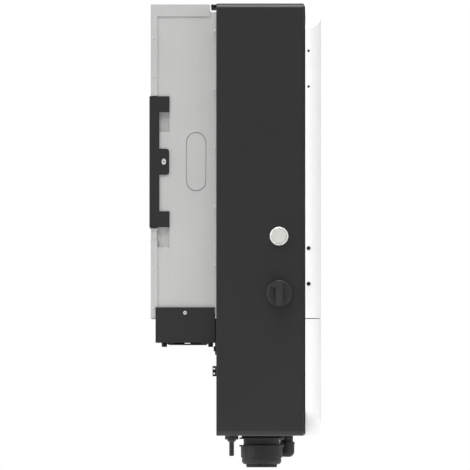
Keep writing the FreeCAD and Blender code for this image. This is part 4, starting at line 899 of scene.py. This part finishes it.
class INVERTER_OT_stage(bpy.types.Operator):
    """Pale floor, soft lights and a long-lens camera square to the unit's side"""

    bl_idname = "inverter.stage"
    bl_label = "Studio"

    def execute(self, context):
        stage = context.scene.inverter_stage
        view = context.scene.view_settings
        view.view_transform = "Standard"
        view.look = "None"
        self.floor(stage)
        self.sky(context.scene, stage)
        self.light("key_light", (-2.3, 0.0, 3.5), 2.2, stage.key_power)
        self.light("top_light", (-0.5, 0.1, 2.6), 2.0, stage.top_power)
        self.light("front_light", (1.6, -3.2, 2.0), 2.2, stage.key_power * stage.front_share)
        self.light("rear_light", (-1.8, 3.2, 1.0), 2.2, stage.key_power * stage.rear_share)
        self.camera(context.scene, stage)
        return {"FINISHED"}

    def camera(self, scene, stage):
        """A camera far out along -X, whose frame is a set width at the case's side."""
        data = bpy.data.cameras.new("camera")
        data.lens = stage.lens
        data.sensor_width = SENSOR_MM
        data.clip_end = 200.0
        camera = bpy.data.objects.new("camera", data)
        scene.collection.objects.link(camera)
        away = stage.frame_size * stage.lens / SENSOR_MM
        target = Vector((CAD_LOW.x + stage.side_inset, stage.look_y, stage.look_z))
        camera.location = (target.x - away, stage.look_y, stage.eye_z)
        camera.rotation_euler = (target - camera.location).to_track_quat("-Z", "Y").to_euler()
        scene.camera = camera

    def floor(self, stage):
        """A round pale floor below the glands."""
        bm = bmesh.new()
        made = bmesh.ops.create_circle(bm, cap_ends=True, segments=96, radius=stage.floor_radius)
        drop = Matrix.Translation((0.0, 0.0, CAD_LOW.z - stage.floor_drop))
        bmesh.ops.transform(bm, matrix=drop, verts=made["verts"])
        mesh = bpy.data.meshes.new("studio_floor")
        bm.to_mesh(mesh)
        bm.free()
        floor = bpy.data.objects.new("studio_floor", mesh)
        bpy.context.scene.collection.objects.link(floor)
        paint = bpy.data.materials.new("studio_floor")
        n = Nodes(paint)
        n.paint(colour=n.ramp(n.noise(scale=1.5), [(0.3, (0.93, 0.93, 0.93)), (0.7, (0.96, 0.96, 0.96))]))
        n.shader.inputs["Roughness"].default_value = 0.7
        mesh.materials.append(paint)

    def sky(self, scene, stage):
        """White where the camera sees it, and soft light, brighter from above, everywhere else."""
        world = bpy.data.worlds.new("studio_sky")
        world.use_nodes = True
        tree = world.node_tree
        tree.nodes.clear()
        out = tree.nodes.new("ShaderNodeOutputWorld")
        soft = tree.nodes.new("ShaderNodeBackground")
        seen = tree.nodes.new("ShaderNodeBackground")
        pick = tree.nodes.new("ShaderNodeMixShader")
        path = tree.nodes.new("ShaderNodeLightPath")
        for shader in (soft, seen):
            shader.inputs["Color"].default_value = (1.0, 1.0, 1.0, 1.0)
        way = tree.nodes.new("ShaderNodeSeparateXYZ")
        tree.links.new(tree.nodes.new("ShaderNodeTexCoord").outputs["Generated"], way.inputs["Vector"])
        height = self.ranged(tree, way.outputs["Z"], (-1.0, 1.0), (0.75 * stage.sky, 1.5 * stage.sky))
        side = self.ranged(tree, way.outputs["X"], (-0.9, -0.45), (1.0 - stage.sky_dip, 1.0))
        product = tree.nodes.new("ShaderNodeMath")
        product.operation = "MULTIPLY"
        tree.links.new(height, product.inputs[0])
        tree.links.new(side, product.inputs[1])
        tree.links.new(product.outputs["Value"], soft.inputs["Strength"])
        seen.inputs["Strength"].default_value = 1.0
        tree.links.new(path.outputs["Is Camera Ray"], pick.inputs["Fac"])
        tree.links.new(soft.outputs["Background"], pick.inputs[1])
        tree.links.new(seen.outputs["Background"], pick.inputs[2])
        tree.links.new(pick.outputs["Shader"], out.inputs["Surface"])
        scene.world = world

    def ranged(self, tree, value, source, target):
        """A direction's value carried from one range to another."""
        node = tree.nodes.new("ShaderNodeMapRange")
        node.interpolation_type = "SMOOTHSTEP"
        for key, number in zip(("From Min", "From Max", "To Min", "To Max"), (*source, *target)):
            node.inputs[key].default_value = number
        tree.links.new(value, node.inputs["Value"])
        return node.outputs["Result"]

    def light(self, name, place, size, power):
        """A round soft light that faces the middle of the unit."""
        data = bpy.data.lights.new(name, "AREA")
        data.shape = "DISK"
        data.size = size
        data.energy = power
        lamp = bpy.data.objects.new(name, data)
        bpy.context.scene.collection.objects.link(lamp)
        lamp.location = place
        way = (CAD_LOW + CAD_HIGH) / 2 - Vector(place)
        lamp.rotation_euler = way.to_track_quat("-Z", "Y").to_euler()


STEPS = (
    INVERTER_OT_finishes,
    INVERTER_OT_rivets,
    INVERTER_OT_return_spring,
    INVERTER_OT_dish_plates,
    INVERTER_OT_guards,
    INVERTER_OT_rotors,
    INVERTER_OT_large_nuts,
    INVERTER_OT_small_nuts,
    INVERTER_OT_stage,
)


class INVERTER_PT_build(bpy.types.Panel):
    """Build steps and settings of the string inverter"""

    bl_idname = "INVERTER_PT_build"
    bl_label = "String inverter"
    bl_space_type = "VIEW_3D"
    bl_region_type = "UI"
    bl_category = "Inverter"

    def draw(self, context):
        for group in ("inverter_finish", "inverter_fittings", "inverter_stage"):
            box = self.layout.box()
            settings = getattr(context.scene, group)
            for key in settings.__annotations__:
                box.prop(settings, key)
        for operator in STEPS:
            self.layout.operator(operator.bl_idname)


GROUPS = (
    (InverterFinish, "inverter_finish"),
    (InverterFittings, "inverter_fittings"),
    (InverterStage, "inverter_stage"),
)


def register():
    for group, name in GROUPS:
        bpy.utils.register_class(group)
        setattr(bpy.types.Scene, name, PointerProperty(type=group))
    for operator in STEPS:
        bpy.utils.register_class(operator)
    bpy.utils.register_class(INVERTER_PT_build)


def unregister():
    bpy.utils.unregister_class(INVERTER_PT_build)
    for operator in reversed(STEPS):
        bpy.utils.unregister_class(operator)
    for group, name in reversed(GROUPS):
        delattr(bpy.types.Scene, name)
        bpy.utils.unregister_class(group)


def main():
    """Registers the add-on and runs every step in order."""
    register()
    for operator in STEPS:
        family, name = operator.bl_idname.split(".")
        getattr(getattr(bpy.ops, family), name)()


if __name__ == "__main__":
    main()
